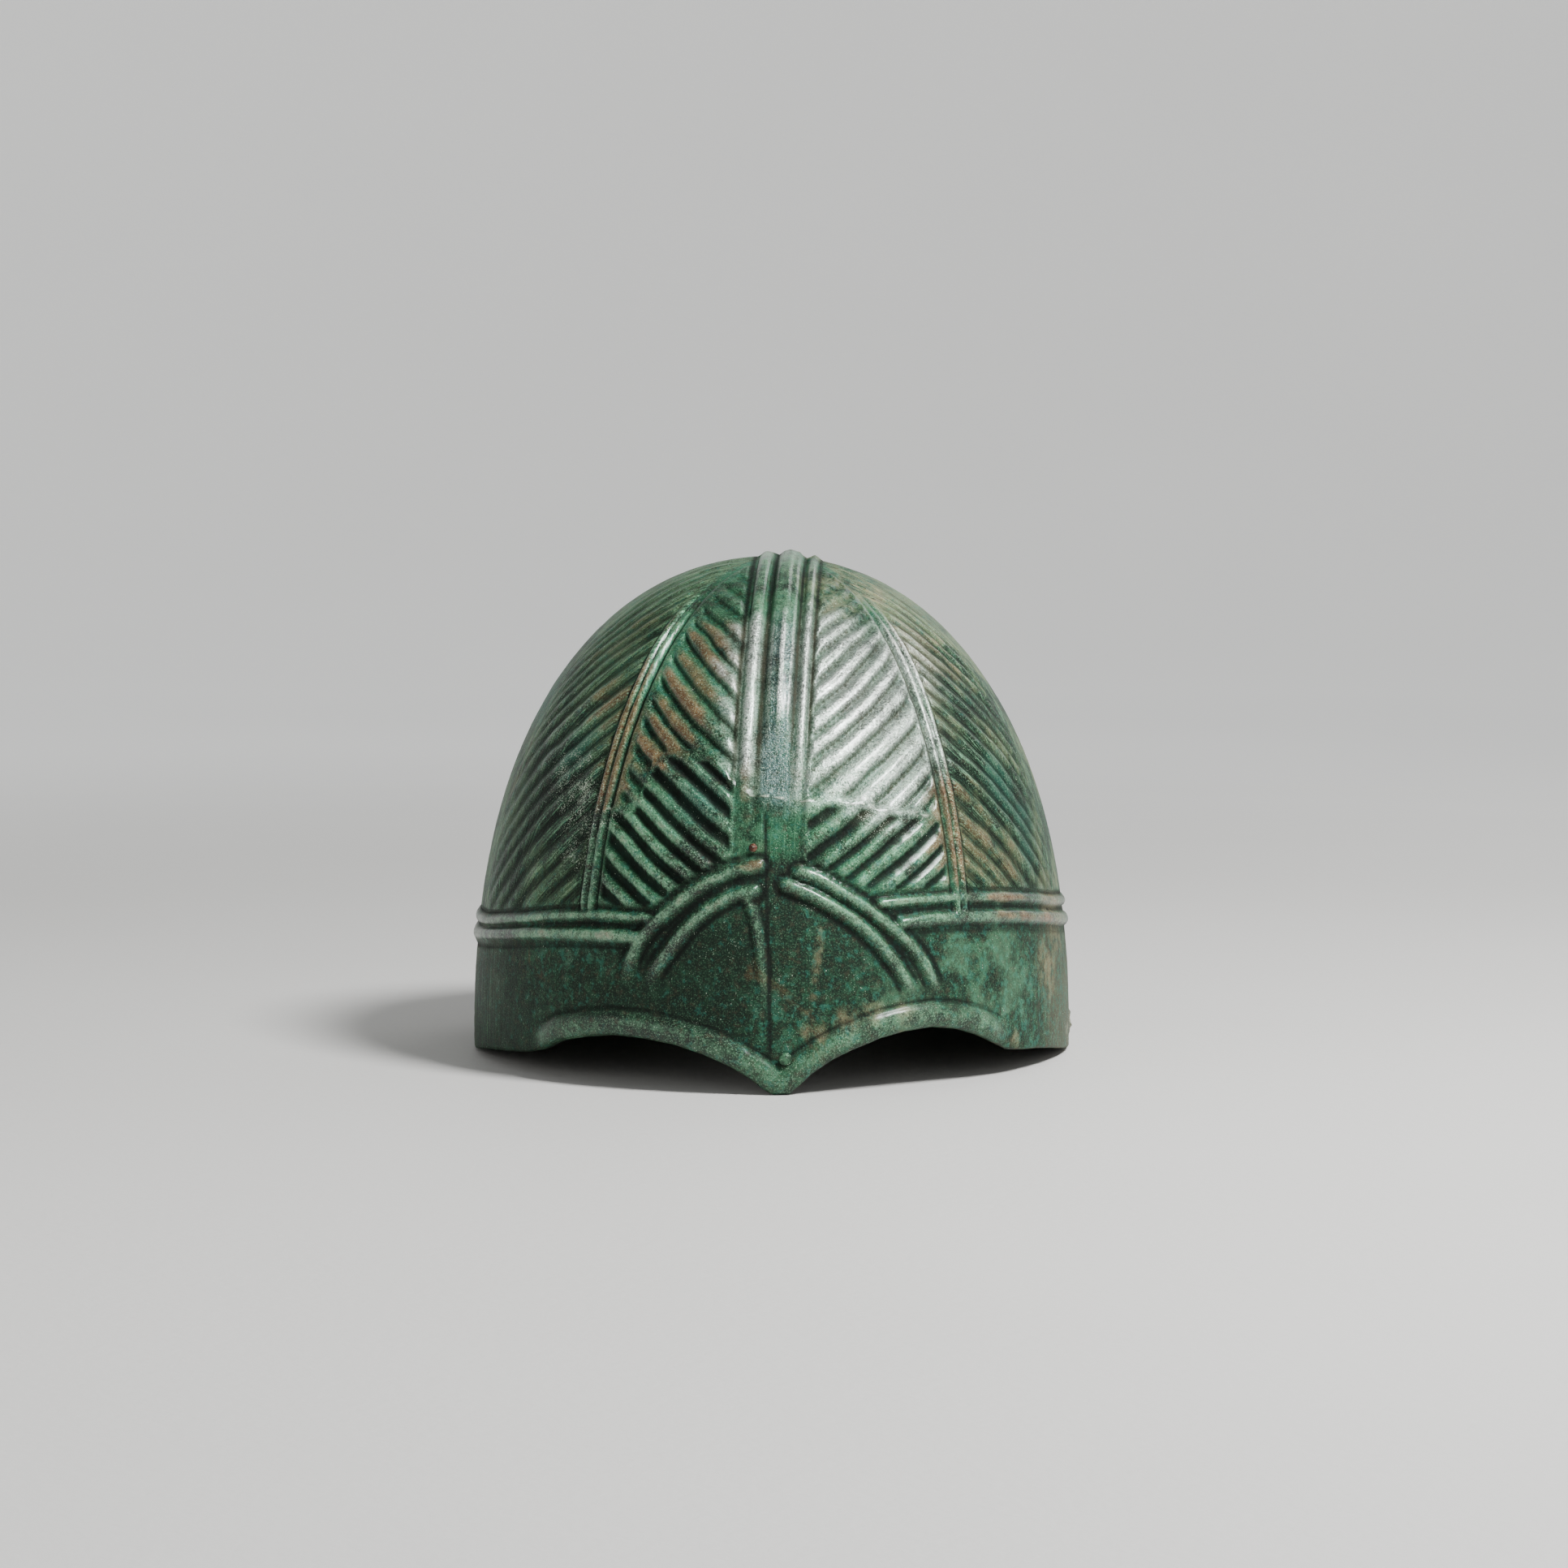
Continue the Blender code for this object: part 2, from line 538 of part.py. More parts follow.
def roll_edge_height(chart):
    """The rolled edge along the two brow arches."""
    degrees = np.degrees(np.arctan2(chart[:, 0], -chart[:, 1]))
    pairs = np.array(RIM_EDGE)
    line_x = np.radians(pairs[:, 0]) * MEAN_RADIUS
    line_z = pairs[:, 1] * HEIGHT
    x = np.radians(degrees) * MEAN_RADIUS
    z = height_at_radius(np.hypot(chart[:, 0], chart[:, 1]))
    best = np.full(len(chart), 1.0)
    for i in range(len(pairs) - 1):
        ax, az = line_x[i], line_z[i]
        bx, bz = line_x[i + 1] - ax, line_z[i + 1] - az
        t = np.clip(((x - ax) * bx + (z - az) * bz) / (bx * bx + bz * bz), 0.0, 1.0)
        best = np.minimum(best, np.hypot(x - ax - t * bx, z - az - t * bz))
    across = (best / RIM_ROLL - 0.48) / 0.52
    fade = ease((49.5 - np.abs(degrees)) / 7.0)
    return RIM_ROLL_RISE * fade * np.maximum(1.0 - across ** 2 * 0.999, 0.0) * (best < RIM_ROLL)


def relief(chart):
    """Height of the whole relief above the smooth bowl."""
    points = bowl_point(chart)
    height = np.zeros(len(chart))
    for roll in ROLLS:
        height = np.maximum(height, roll.height(points))
    height = np.maximum(height, crest_height(to_pattern(chart)))
    height = np.maximum(height, rib_height(chart))
    height = np.maximum(height, roll_edge_height(chart))
    stud = bowl_point(chart_point(*STUD_PLACE))
    distance = np.linalg.norm(points - stud, axis=1)
    height = np.maximum(height, STUD_RISE * bump(distance / STUD_HALF))
    for groove in GROOVES:
        height = height + groove.height(points)
    return height


def crest_lines():
    lines = []
    left = np.array(CREST_LEFT_EDGE)
    right = np.array(CREST_RIGHT_EDGE)
    for share in (0.0, 0.22, 0.5, 0.78, 1.0):
        lines.append(crest_path(left + (right - left) * share, FRONT_CREST_END, BACK_CREST_END))
    return lines


def hole_ring(place, radius, count=12):
    centre = chart_point(*place)
    r = float(np.hypot(*centre))
    size = radius / float(metres_per_chart(r))
    turns = np.linspace(0.0, 2.0 * math.pi, count, endpoint=False)
    return centre + size * np.stack((np.cos(turns), np.sin(turns)), axis=1)


def stud_ring():
    centre = chart_point(*STUD_PLACE)
    ring = hole_ring(STUD_PLACE, STUD_HALF, 10)
    inner = hole_ring(STUD_PLACE, 0.55 * STUD_HALF, 8)
    return centre, np.vstack((ring, ring[:1])), np.vstack((inner, inner[:1]))


def fill_points(step, lines, room, boundary):
    """Points of an even mesh over the chart, kept clear of the lines."""
    taken = [bowl_point(line) for line in lines]
    taken.append(bowl_point(boundary))
    close = np.vstack(taken)
    found = []
    arc = 0.0
    row = 0
    while arc < ARC_TOTAL:
        r = float(radius_at_arc(arc))
        around = 2.0 * math.pi * MEAN_RADIUS * float(width_at_radius(r))
        count = max(int(round(around / step)), 1)
        turns = (np.arange(count) + 0.5 * (row % 2)) / count * 2.0 * math.pi
        found.append(np.stack((r * np.sin(turns), -r * np.cos(turns)), axis=1))
        arc += step * 0.866
        row += 1
    points = np.vstack(found)
    degrees = np.degrees(np.arctan2(points[:, 0], -points[:, 1]))
    pairs = np.array(RIM_EDGE)
    floor = HEIGHT * np.interp(degrees, pairs[:, 0], pairs[:, 1])
    points = points[height_at_radius(np.hypot(*points.T)) > floor + 0.5 * step]
    solid = bowl_point(points)
    keep = [np.min(np.linalg.norm(close - p, axis=1)) > room for p in solid]
    return points[np.array(keep)]


def triangulate(boundary, lines, extra, rings):
    """Triangles inside the boundary that keep every line as an edge."""
    verts = [tuple(p) for p in boundary]
    edges = []
    for line in list(lines) + [np.vstack((ring, ring[:1])) for ring in rings]:
        base = len(verts)
        verts.extend(tuple(p) for p in line)
        edges.extend((base + i, base + i + 1) for i in range(len(line) - 1))
    verts.extend(tuple(p) for p in extra)
    face = list(range(len(boundary)))
    out = delaunay_2d_cdt(verts, edges, [face], 1, SNAP)
    points = np.array([(v[0], v[1]) for v in out[0]])
    where = {}
    for new, olds in enumerate(out[3]):
        for old in olds:
            where[old] = new
    faces = [tuple(f) for f in out[2] if len(f) == 3]
    return points, faces, where


def clear_of_rings(lines, rings):
    """The stretches of the lines that keep clear of every hole."""
    kept = []
    for line in lines:
        start = line[:-1]
        along = line[1:] - start
        clear = np.ones(len(start), bool)
        for ring in rings:
            centre = ring.mean(axis=0)
            reach = HOLE_ROOM * np.linalg.norm(ring - centre, axis=1).max()
            t = np.sum((centre - start) * along, axis=1) / np.sum(along ** 2, axis=1)
            near = start + np.clip(t, 0.0, 1.0)[:, None] * along
            clear &= np.linalg.norm(near - centre, axis=1) > reach
        first = None
        for i, good in enumerate(list(clear) + [False]):
            if good and first is None:
                first = i
            if not good and first is not None:
                kept.append(line[first:i + 1])
                first = None
    return kept


def drop_rings(points, faces, rings):
    """Leave out the triangles that fill each hole."""
    kept = []
    middles = np.array([points[list(f)].mean(axis=0) for f in faces])
    inside = np.zeros(len(faces), bool)
    for ring in rings:
        centre = ring.mean(axis=0)
        size = np.linalg.norm(ring - centre, axis=1).mean()
        inside |= np.linalg.norm(middles - centre, axis=1) < 0.93 * size
    for face, gone in zip(faces, inside):
        if not gone:
            kept.append(face)
    return kept


def inner_chart(points):
    """Chart places of points on or near the inner face."""
    x = points[:, 0] / (HALF_WIDTH - WALL)
    y = points[:, 1] / (HALF_LENGTH - WALL)
    z = points[:, 2] * HEIGHT / (HEIGHT - WALL)
    r = radius_at_height(np.clip(z, 0.0, HEIGHT * 0.999999))
    turn = np.arctan2(x, -y)
    return np.stack((r * np.sin(turn), -r * np.cos(turn)), axis=1)


def ordered(faces, points):
    """Turn every triangle counter-clockwise on the chart."""
    turned = []
    for a, b, c in faces:
        ab = points[b] - points[a]
        ac = points[c] - points[a]
        if ab[0] * ac[1] - ab[1] * ac[0] < 0.0:
            a, b, c = a, c, b
        turned.append((a, b, c))
    return turned


def material(name, colour, metallic, roughness):
    made = bpy.data.materials.new(name)
    made.use_nodes = True
    shader = made.node_tree.nodes["Principled BSDF"]
    shader.inputs["Base Color"].default_value = (*colour, 1.0)
    shader.inputs["Metallic"].default_value = metallic
    shader.inputs["Roughness"].default_value = roughness
    return made


def add_object(name, verts, faces, look, origin):
    mesh = bpy.data.meshes.new(name)
    mesh.from_pydata([tuple(map(float, v)) for v in np.asarray(verts) - origin], [], faces)
    mesh.validate()
    mesh.update()
    mesh.materials.append(look)
    made = bpy.data.objects.new(name, mesh)
    bpy.context.scene.collection.objects.link(made)
    return made


def build_shell():
    rim_z, boundary = rim_path()
    lines = []
    for roll in ROLLS + GROOVES:
        lines.extend(roll.lines())
    lines.extend(crest_lines())
    lines.append(ROLL_TOP)
    lines.append(ROLL_FOOT)
    stud_centre, stud_outer, stud_inner = stud_ring()
    lines.append(stud_outer)
    lines.append(stud_inner)
    lines.extend(rib_lines())
    places = (
        (TIP_RIVET_PLACE, TIP_RIVET_SHANK + FIT_GAP),
        (CREST_PIN_PLACE, CREST_PIN_SHANK + FIT_GAP),
    )
    rings = [hole_ring(place, radius) for place, radius in places]
    lines = clear_of_rings(lines, rings)
    extra = fill_points(FILL_STEP, lines + rings, FILL_ROOM, boundary)
    extra = np.vstack((extra, stud_centre[None, :]))
    outer_chart, outer_faces, outer_where = triangulate(boundary, lines, extra, rings)
    outer_faces = ordered(drop_rings(outer_chart, outer_faces, rings), outer_chart)

    base = bowl_point(outer_chart)
    outer = base + bowl_normal(base) * relief(outer_chart)[:, None]
    rim_index = [outer_where[i] for i in range(len(boundary))]
    outer[rim_index, 2] = np.maximum(rim_z, 0.0)

    inner_edge = inner_chart(bowl_point(boundary) * np.array((1.0, 1.0, 0.0))
                             + np.stack((0 * rim_z, 0 * rim_z, rim_z), axis=1))
    inner_rings = []
    for ring in rings:
        points = bowl_point(ring)
        centre = points.mean(axis=0)[None, :]
        points = points - bowl_normal(centre) * WALL
        inner_rings.append(inner_chart(points))
    inner_extra = fill_points(INNER_STEP, inner_rings, 0.4 * INNER_STEP, inner_edge)
    inner_points, inner_faces, inner_where = triangulate(inner_edge, [], inner_extra, inner_rings)
    inner_faces = ordered(drop_rings(inner_points, inner_faces, inner_rings), inner_points)
    inner = bowl_point(inner_points, WALL)
    inner_rim = [inner_where[i] for i in range(len(boundary))]
    inner[inner_rim, 2] = np.maximum(rim_z, 0.0)

    offset = len(outer)
    verts = np.vstack((outer, inner))
    faces = list(outer_faces)
    faces.extend((c + offset, b + offset, a + offset) for a, b, c in inner_faces)
    count = len(boundary)
    for i in range(count):
        j = (i + 1) % count
        a, b = rim_index[i], rim_index[j]
        c, d = inner_rim[i] + offset, inner_rim[j] + offset
        faces.append((b, a, c))
        faces.append((b, c, d))
    start = count + sum(len(line) for line in lines)
    inner_start = count
    for ring in rings:
        size = len(ring)
        for i in range(size):
            j = (i + 1) % size
            a, b = outer_where[start + i], outer_where[start + j]
            c, d = inner_where[inner_start + i] + offset, inner_where[inner_start + j] + offset
            faces.append((a, b, c))
            faces.append((b, d, c))
        start += size + 1
        inner_start += size + 1
    low = outer.min(axis=0)
    high = outer.max(axis=0)
    origin = np.array((0.5 * (low[0] + high[0]), 0.5 * (low[1] + high[1]), low[2]))
    look = material("cast_bronze", (0.10, 0.24, 0.17), 0.55, 0.5)
    add_object("cast_shell", verts, faces, look, origin)
    return origin


def build_rivet(name, place, shank, head, look, origin):
    """A small rivet: domed head outside, shank, flat tail inside."""
    centre = bowl_point(chart_point(*place))[0]
    axis = bowl_normal(centre[None, :])[0]
    side = np.cross(axis, (0.0, 0.0, 1.0))
    side /= np.linalg.norm(side)
    up = np.cross(axis, side)
    top = 0.0004 + FIT_GAP
    dome = 0.45 * head
    tail = -WALL - FIT_GAP - 0.0002
    profile = (
        (0.0, top + dome), (0.55 * head, top + 0.82 * dome), (0.9 * head, top + 0.42 * dome),
        (head, top), (shank, top), (shank, tail), (1.5 * shank, tail),
        (1.5 * shank, tail - TAIL_THICKNESS), (0.0, tail - TAIL_THICKNESS),
    )
    count = 16
    verts = [centre + axis * profile[0][1]]
    for radius, along in profile[1:-1]:
        for i in range(count):
            turn = 2.0 * math.pi * i / count
            ring = side * math.cos(turn) + up * math.sin(turn)
            verts.append(centre + axis * along + ring * radius)
    verts.append(centre + axis * profile[-1][1])
    faces = []
    rows = len(profile) - 2
    for i in range(count):
        j = (i + 1) % count
        faces.append((0, 1 + i, 1 + j))
        for row in range(rows - 1):
            a = 1 + row * count
            b = a + count
            faces.append((a + i, b + i, b + j, a + j))
        last = 1 + (rows - 1) * count
        faces.append((last + i, len(verts) - 1, last + j))
    made = add_object(name, verts, faces, look, origin)
    for polygon in made.data.polygons:
        polygon.use_smooth = True
    return made


for old in list(bpy.data.objects):
    bpy.data.objects.remove(old, do_unlink=True)

# The frame's origin is the middle of the base of the shell's box.
origin = build_shell()
bronze = material("rivet_bronze", (0.14, 0.22, 0.15), 0.6, 0.45)
copper = material("pin_copper", (0.42, 0.20, 0.11), 0.8, 0.4)
build_rivet("tip_rivet", TIP_RIVET_PLACE, TIP_RIVET_SHANK, TIP_RIVET_HEAD, bronze, origin)
build_rivet("crest_pin", CREST_PIN_PLACE, CREST_PIN_SHANK, CREST_PIN_HEAD, copper, origin)
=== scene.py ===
import math

import bpy
import numpy as np
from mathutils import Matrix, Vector


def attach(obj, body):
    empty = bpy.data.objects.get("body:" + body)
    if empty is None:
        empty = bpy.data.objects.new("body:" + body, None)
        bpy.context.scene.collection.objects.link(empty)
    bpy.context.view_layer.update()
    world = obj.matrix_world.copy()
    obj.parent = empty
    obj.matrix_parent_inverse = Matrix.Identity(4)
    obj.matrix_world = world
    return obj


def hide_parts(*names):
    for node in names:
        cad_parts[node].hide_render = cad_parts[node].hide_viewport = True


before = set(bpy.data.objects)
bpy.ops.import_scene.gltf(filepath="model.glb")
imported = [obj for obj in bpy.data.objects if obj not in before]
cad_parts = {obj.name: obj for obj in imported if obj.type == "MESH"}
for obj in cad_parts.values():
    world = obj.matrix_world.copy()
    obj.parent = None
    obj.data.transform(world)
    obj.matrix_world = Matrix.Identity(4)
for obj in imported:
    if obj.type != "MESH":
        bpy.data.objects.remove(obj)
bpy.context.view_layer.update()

# The cast bowl, in metres and degrees. The brow faces -Y and +X is the wearer's left.
bowl = {
    "halfWidth": 0.0975,
    "halfLength": 0.112,
    "height": 0.160,
    "wall": 0.0028,
    "widthPower": 2.1,
    "heightPower": 2.4,
    "centreX": -0.0006955,
    "centreY": 0.0010504,
    "patternShift": 0.0055,
    "ridgeAzimuth": 37.0,
    "leanShare": 0.33,
    "fieldTop": 0.056,
    "fieldSide": 79.0,
    "fieldFade": 16.0,
}

# Lower edge of the bowl: degrees from the front, share of the height
rimEdge = np.array((
    (-180.0, 0.0781), (-171.0, 0.0706), (-163.0, 0.05), (-156.0, 0.0187), (-150.0, 0.0),
    (-118.0, 0.0), (-86.0, 0.0), (-80.0, 0.005), (-74.0, 0.0138), (-67.5, 0.0244), (-58.0, 0.035),
    (-50.4, 0.0444), (-45.6, 0.0562), (-41.3, 0.0769), (-35.5, 0.0906), (-29.2, 0.0994),
    (-23.5, 0.0975), (-17.3, 0.0888), (-12.1, 0.0731), (-7.0, 0.0506), (-4.2, 0.0331),
    (-1.6, 0.0125), (0.2, 0.0), (3.2, 0.0), (5.1, 0.0163), (7.2, 0.0375), (10.8, 0.0625),
    (14.5, 0.08), (19.7, 0.0994), (24.6, 0.11), (30.2, 0.1138), (35.6, 0.1056), (40.4, 0.09),
    (44.6, 0.0713), (49.2, 0.0506), (54.0, 0.0444), (59.1, 0.0394), (66.0, 0.0294),
    (73.0, 0.0175), (80.0, 0.0063), (86.0, 0.0), (118.0, 0.0), (150.0, 0.0), (156.0, 0.0187),
    (163.0, 0.05), (171.0, 0.0706), (180.0, 0.0781),
))

# Raised and sunk lines: degrees from the front, share of the height
archLines = {
    "leftOuter": (
        (5.4, 0.4119), (9.1, 0.3994), (13.6, 0.3713), (18.1, 0.3406), (21.6, 0.3125),
        (25.2, 0.28), (28.2, 0.2437), (30.5, 0.1988), (31.7, 0.1687),
    ),
    "leftInner": (
        (2.9, 0.3887), (7.5, 0.37), (12.0, 0.3438), (16.4, 0.3125), (20.2, 0.2731),
        (23.2, 0.2344), (25.4, 0.195), (26.6, 0.1675),
    ),
    "rightOuter": (
        (-2.2, 0.425), (-7.5, 0.4131), (-12.0, 0.3912), (-15.8, 0.365), (-18.9, 0.3369),
        (-22.4, 0.305), (-24.8, 0.2712), (-26.3, 0.2325), (-27.2, 0.1875),
    ),
    "rightInner": (
        (-3.2, 0.3775), (-7.4, 0.3669), (-11.8, 0.3406), (-15.5, 0.305), (-18.4, 0.2669),
        (-21.4, 0.2231), (-22.9, 0.1875),
    ),
}
nasalLine = ((-4.4, 0.3625), (-2.9, 0.33), (-1.9, 0.2706), (-1.3, 0.2106), (-0.8, 0.1356))
seamLine = (
    (-1.2, 0.5375), (-0.8, 0.4188), (-0.6, 0.3312), (-0.3, 0.225), (-0.2, 0.1375), (0.0, 0.0375),
)
bandLines = {
    "upper": (
        (20.6, 0.35), (26.4, 0.3531), (34.4, 0.3531), (45.8, 0.3463), (59.4, 0.3319),
        (73.0, 0.3125), (90.0, 0.2988), (110.0, 0.3), (130.0, 0.3087), (150.0, 0.3162),
        (180.0, 0.32), (210.0, 0.3125), (230.0, 0.3), (250.0, 0.285), (270.0, 0.2725),
        (288.2, 0.2756), (304.6, 0.2969), (317.1, 0.3144), (326.2, 0.3231), (332.3, 0.3231),
        (336.8, 0.3225),
    ),
    "lower": (
        (24.6, 0.3125), (29.5, 0.3162), (36.9, 0.3162), (47.5, 0.3087), (62.0, 0.2931),
        (77.6, 0.2719), (94.0, 0.2587), (112.0, 0.26), (130.0, 0.2687), (150.0, 0.2775),
        (180.0, 0.2812), (210.0, 0.2737), (230.0, 0.2612), (250.0, 0.2475), (270.0, 0.2387),
        (284.0, 0.2437), (298.6, 0.2594), (313.2, 0.2775), (323.8, 0.285), (330.9, 0.2869),
        (334.8, 0.2869),
    ),
}
# Lowest reach of the rib fields: the band's upper line, and the outer arches over the brow
fieldFloor = np.array(
    [(degrees - 360.0, share) for degrees, share in bandLines["upper"] if 180.0 <= degrees < 330.0]
    + [(-23.6, 0.3237), (-21.2, 0.3344), (-18.7, 0.3563), (-15.8, 0.375), (-12.0, 0.3975),
       (-7.5, 0.415), (-2.0, 0.425), (5.4, 0.4137), (9.1, 0.4031), (13.6, 0.3787), (17.0, 0.3612),
       (20.6, 0.3537)]
    + [(degrees, share) for degrees, share in bandLines["upper"] if 30.0 < degrees <= 180.0])
# The uneven step across the brow where the lower part stands a little proud
breakLine = np.array((
    (-37.0, 0.52), (-27.5, 0.528), (-25.8, 0.598), (-22.2, 0.622), (-16.5, 0.627), (-11.4, 0.6175),
    (-8.9, 0.586), (-4.5, 0.556), (1.3, 0.55), (7.1, 0.543), (15.1, 0.538), (22.4, 0.526),
    (28.7, 0.513), (33.4, 0.503), (37.0, 0.50),
))

# Crest lines: distance to the side as shares of the half width, by arc share from the top.
# The first and the ends are arc shares too, the halves and the rise metres.
crest = {
    "shares": (0.0, 0.14, 0.25, 0.36, 0.46, 0.58, 0.70),
    "leftEdge": (-0.037, -0.047, -0.055, -0.064, -0.066, -0.066, -0.062),
    "rightEdge": (0.064, 0.057, 0.052, 0.047, 0.041, 0.035, 0.033),
    "leftRoll": (-0.068, -0.082, -0.094, -0.105, -0.111, -0.117, -0.121),
    "rightRoll": (0.101, 0.088, 0.080, 0.072, 0.066, 0.059, 0.056),
    "leftFirst": 0.67,
    "rightFirst": 0.64,
    "frontEnd": 0.53,
    "backEnd": 0.76,
    "frontFade": 0.10,
    "backFade": 0.02,
    "rise": 0.0024,
    "leftHalf": 0.0024,
    "rightHalf": 0.0017,
    "waves": 9.2,
}
# Ridges and paths: shares of the height, metres between the two rolls and between path points,
# and how far round the rolled brow edge goes in degrees
ridge = {
    "head": 0.941, "frontFoot": 0.331, "backFoot": 0.316, "apart": 0.0015,
    "pathStep": 0.0015, "rimDegrees": 49.5,
}
# Rolls: half width and rise in metres, then how much of each end fades out, as shares.
# The seam and the rim have no height of their own, so their rise is 1.
rolls = {
    "leftOuter": (0.0022, 0.0017, 0.0, 0.15),
    "leftInner": (0.0022, 0.0017, 0.0, 0.15),
    "rightOuter": (0.0022, 0.0017, 0.0, 0.25),
    "rightInner": (0.0022, 0.0017, 0.0, 0.25),
    "upper": (0.0018, 0.0013, 0.0, 0.0),
    "lower": (0.0023, 0.0016, 0.0, 0.0),
    "ridge": (0.0014, 0.0016, 0.3, 0.0),
    "leftRoll": (crest["leftHalf"], 0.0016, 0.15, 0.0),
    "rightRoll": (crest["rightHalf"], 0.0014, 0.14, 0.0),
    "nasal": (0.0016, 0.0010, 0.0, 0.5),
    "seam": (0.0009, 1.0, 0.1, 0.1),
    "rim": (0.004, 1.0, 0.0, 0.0),
}

# How far rib lines run down, in metres per radian away from the crest and from the ridge
lean = {"inner": 0.068, "side": -0.077}
# Ribs: gaps and fades in metres, outward in degrees, the rest shares. bluntGaps: the right brow
# panel above and below the break, the left one, the others. crownRise: base, gain, start, reach.
ribs = {
    "beyond": 0.02,
    "breakFade": 0.002,
    "edgeFade": 0.0012,
    "outward": 26.0,
    "curl": 0.3,
    "skew": 0.12,
    "ridgeGap": 0.0028,
    "floorGap": 0.0022,
    "crestGap": 0.0012,
    "bluntGaps": (0.0032, 0.0014, 0.0016, 0.0004),
    "crownRise": (0.35, 0.65, 0.030, 0.045),
}
# Strokes: how plainly they show in each field
strokes = {
    "curl": 1.3,
    "uprightPitch": 0.8,
    "backShift": 0.15,
    "leftShift": 0.33,
    "faint": 0.15,
    "earFaint": 0.30,
    "topFaint": 0.40,
    "innerGain": 0.20,
    "sideGain": 0.90,
    "crestGain": 0.16,
    "lowGain": 0.03,
    "lowSideGain": 0.45,
    "rimGain": 0.12,
}
# Dry skin on the sides: fades in degrees and in metres, then shares
dryness = {"ridgeFade": 3.0, "floorFade": 0.004, "low": 0.5, "right": 0.4}
# Where something begins and over how much it comes in (below zero: it goes on towards lower
# values), in degrees, for top in metres
fades = {
    "upright": (54.0, 20.0),
    "ear": (76.0, 14.0),
    "top": (0.090, -0.035),
    "dry": (60.0, 14.0),
    "break": (36.0, -3.0),
}


def evenTops(first):
    return tuple(first + 7.7 * i for i in range(23))


# Rib tops in millimetres down the crest, worked out per panel.
# hollow and full say, as shares of half a pitch, where the groove ends and the rib is full:
# beside the crest, beside the ridge, and below the break. edge is the level around the grooves.
ribPanels = {
    "frontRight": {
        "lean": lean["inner"], "hollow": (0.00, 0.10, 0.28), "full": (0.74, 0.84, 0.84),
        "rise": 1.1, "edge": 0.72,
        "tops": (26, 37, 48, 60, 71.4, 83.4, 93.9, 102.9, 112.9, 122.4, 131.4, 137.9, 145.9,
                 154.9, 162.4, 169.4, 176.9, 184.5, 192.0, 200.0),
    },
    "frontLeft": {
        "lean": lean["inner"], "hollow": (0.00, 0.04, 0.12), "full": (0.60, 0.72, 0.80),
        "rise": 1.0, "edge": 0.80,
        "tops": (24, 34, 44, 54, 64, 74, 83.4, 91.9, 100.9, 110.4, 117.5, 125.9, 135.9, 145.4,
                 154.9, 161.9, 168.9, 177.4, 184.5, 192.0, 200.0),
    },
    "sideRight": {
        "lean": lean["side"], "hollow": (0.08, 0.08, 0.08), "full": (0.96, 0.96, 0.96),
        "rise": 0.72, "edge": 0.30,
        "tops": (21, 29, 37, 45, 53, 60.7, 68.2, 77.2, 89.2, 97.7, 106.2, 113.7, 123.2, 131.2,
                 140.7, 148.7, 156.7, 164.7, 172.7, 180.7, 188.7, 196.7),
    },
    "sideLeft": {
        "lean": lean["side"], "hollow": (0.05, 0.05, 0.05), "full": (0.92, 0.92, 0.92),
        "rise": 0.76, "edge": 0.30,
        "tops": (20, 27.5, 35, 42.5, 50, 57.5, 65, 72.7, 79.2, 87.7, 94.2, 101.7, 109.2, 117.2,
                 128.2, 135.7, 141.7, 148.7, 156.2, 163.7, 171.2, 178.7, 186.2, 194.0),
    },
    "backRight": {
        "lean": lean["inner"], "hollow": (0.04, 0.26, 0.28), "full": (0.60, 0.80, 0.84),
        "rise": 1.0, "edge": 0.70,
        "tops": (28.9, 38.4, 47.8, 57.4, 66.9, 76.3, 85.9, 95.4, 105, 114.5, 123.9, 132.7, 140.8,
                 148.8, 156.7, 164.4, 171.9, 179.4, 186.9, 194.4),
    },
    "backLeft": {
        "lean": lean["inner"], "hollow": (0.04, 0.24, 0.28), "full": (0.58, 0.78, 0.84),
        "rise": 1.0, "edge": 0.70,
        "tops": (27.9, 38.0, 47.2, 57.9, 66.4, 76.8, 85.3, 95.9, 104.5, 115, 123.5, 132.9, 141.2,
                 148.5, 156.9, 164.2, 172.2, 179.1, 187.1, 194.2),
    },
    "backSideRight": {
        "lean": lean["side"], "hollow": (0.06, 0.06, 0.06), "full": (0.94, 0.94, 0.94),
        "rise": 0.72, "edge": 0.30, "tops": evenTops(20.0),
    },
    "backSideLeft": {
        "lean": lean["side"], "hollow": (0.06, 0.06, 0.06), "full": (0.94, 0.94, 0.94),
        "rise": 0.72, "edge": 0.30, "tops": evenTops(18.5),
    },
}

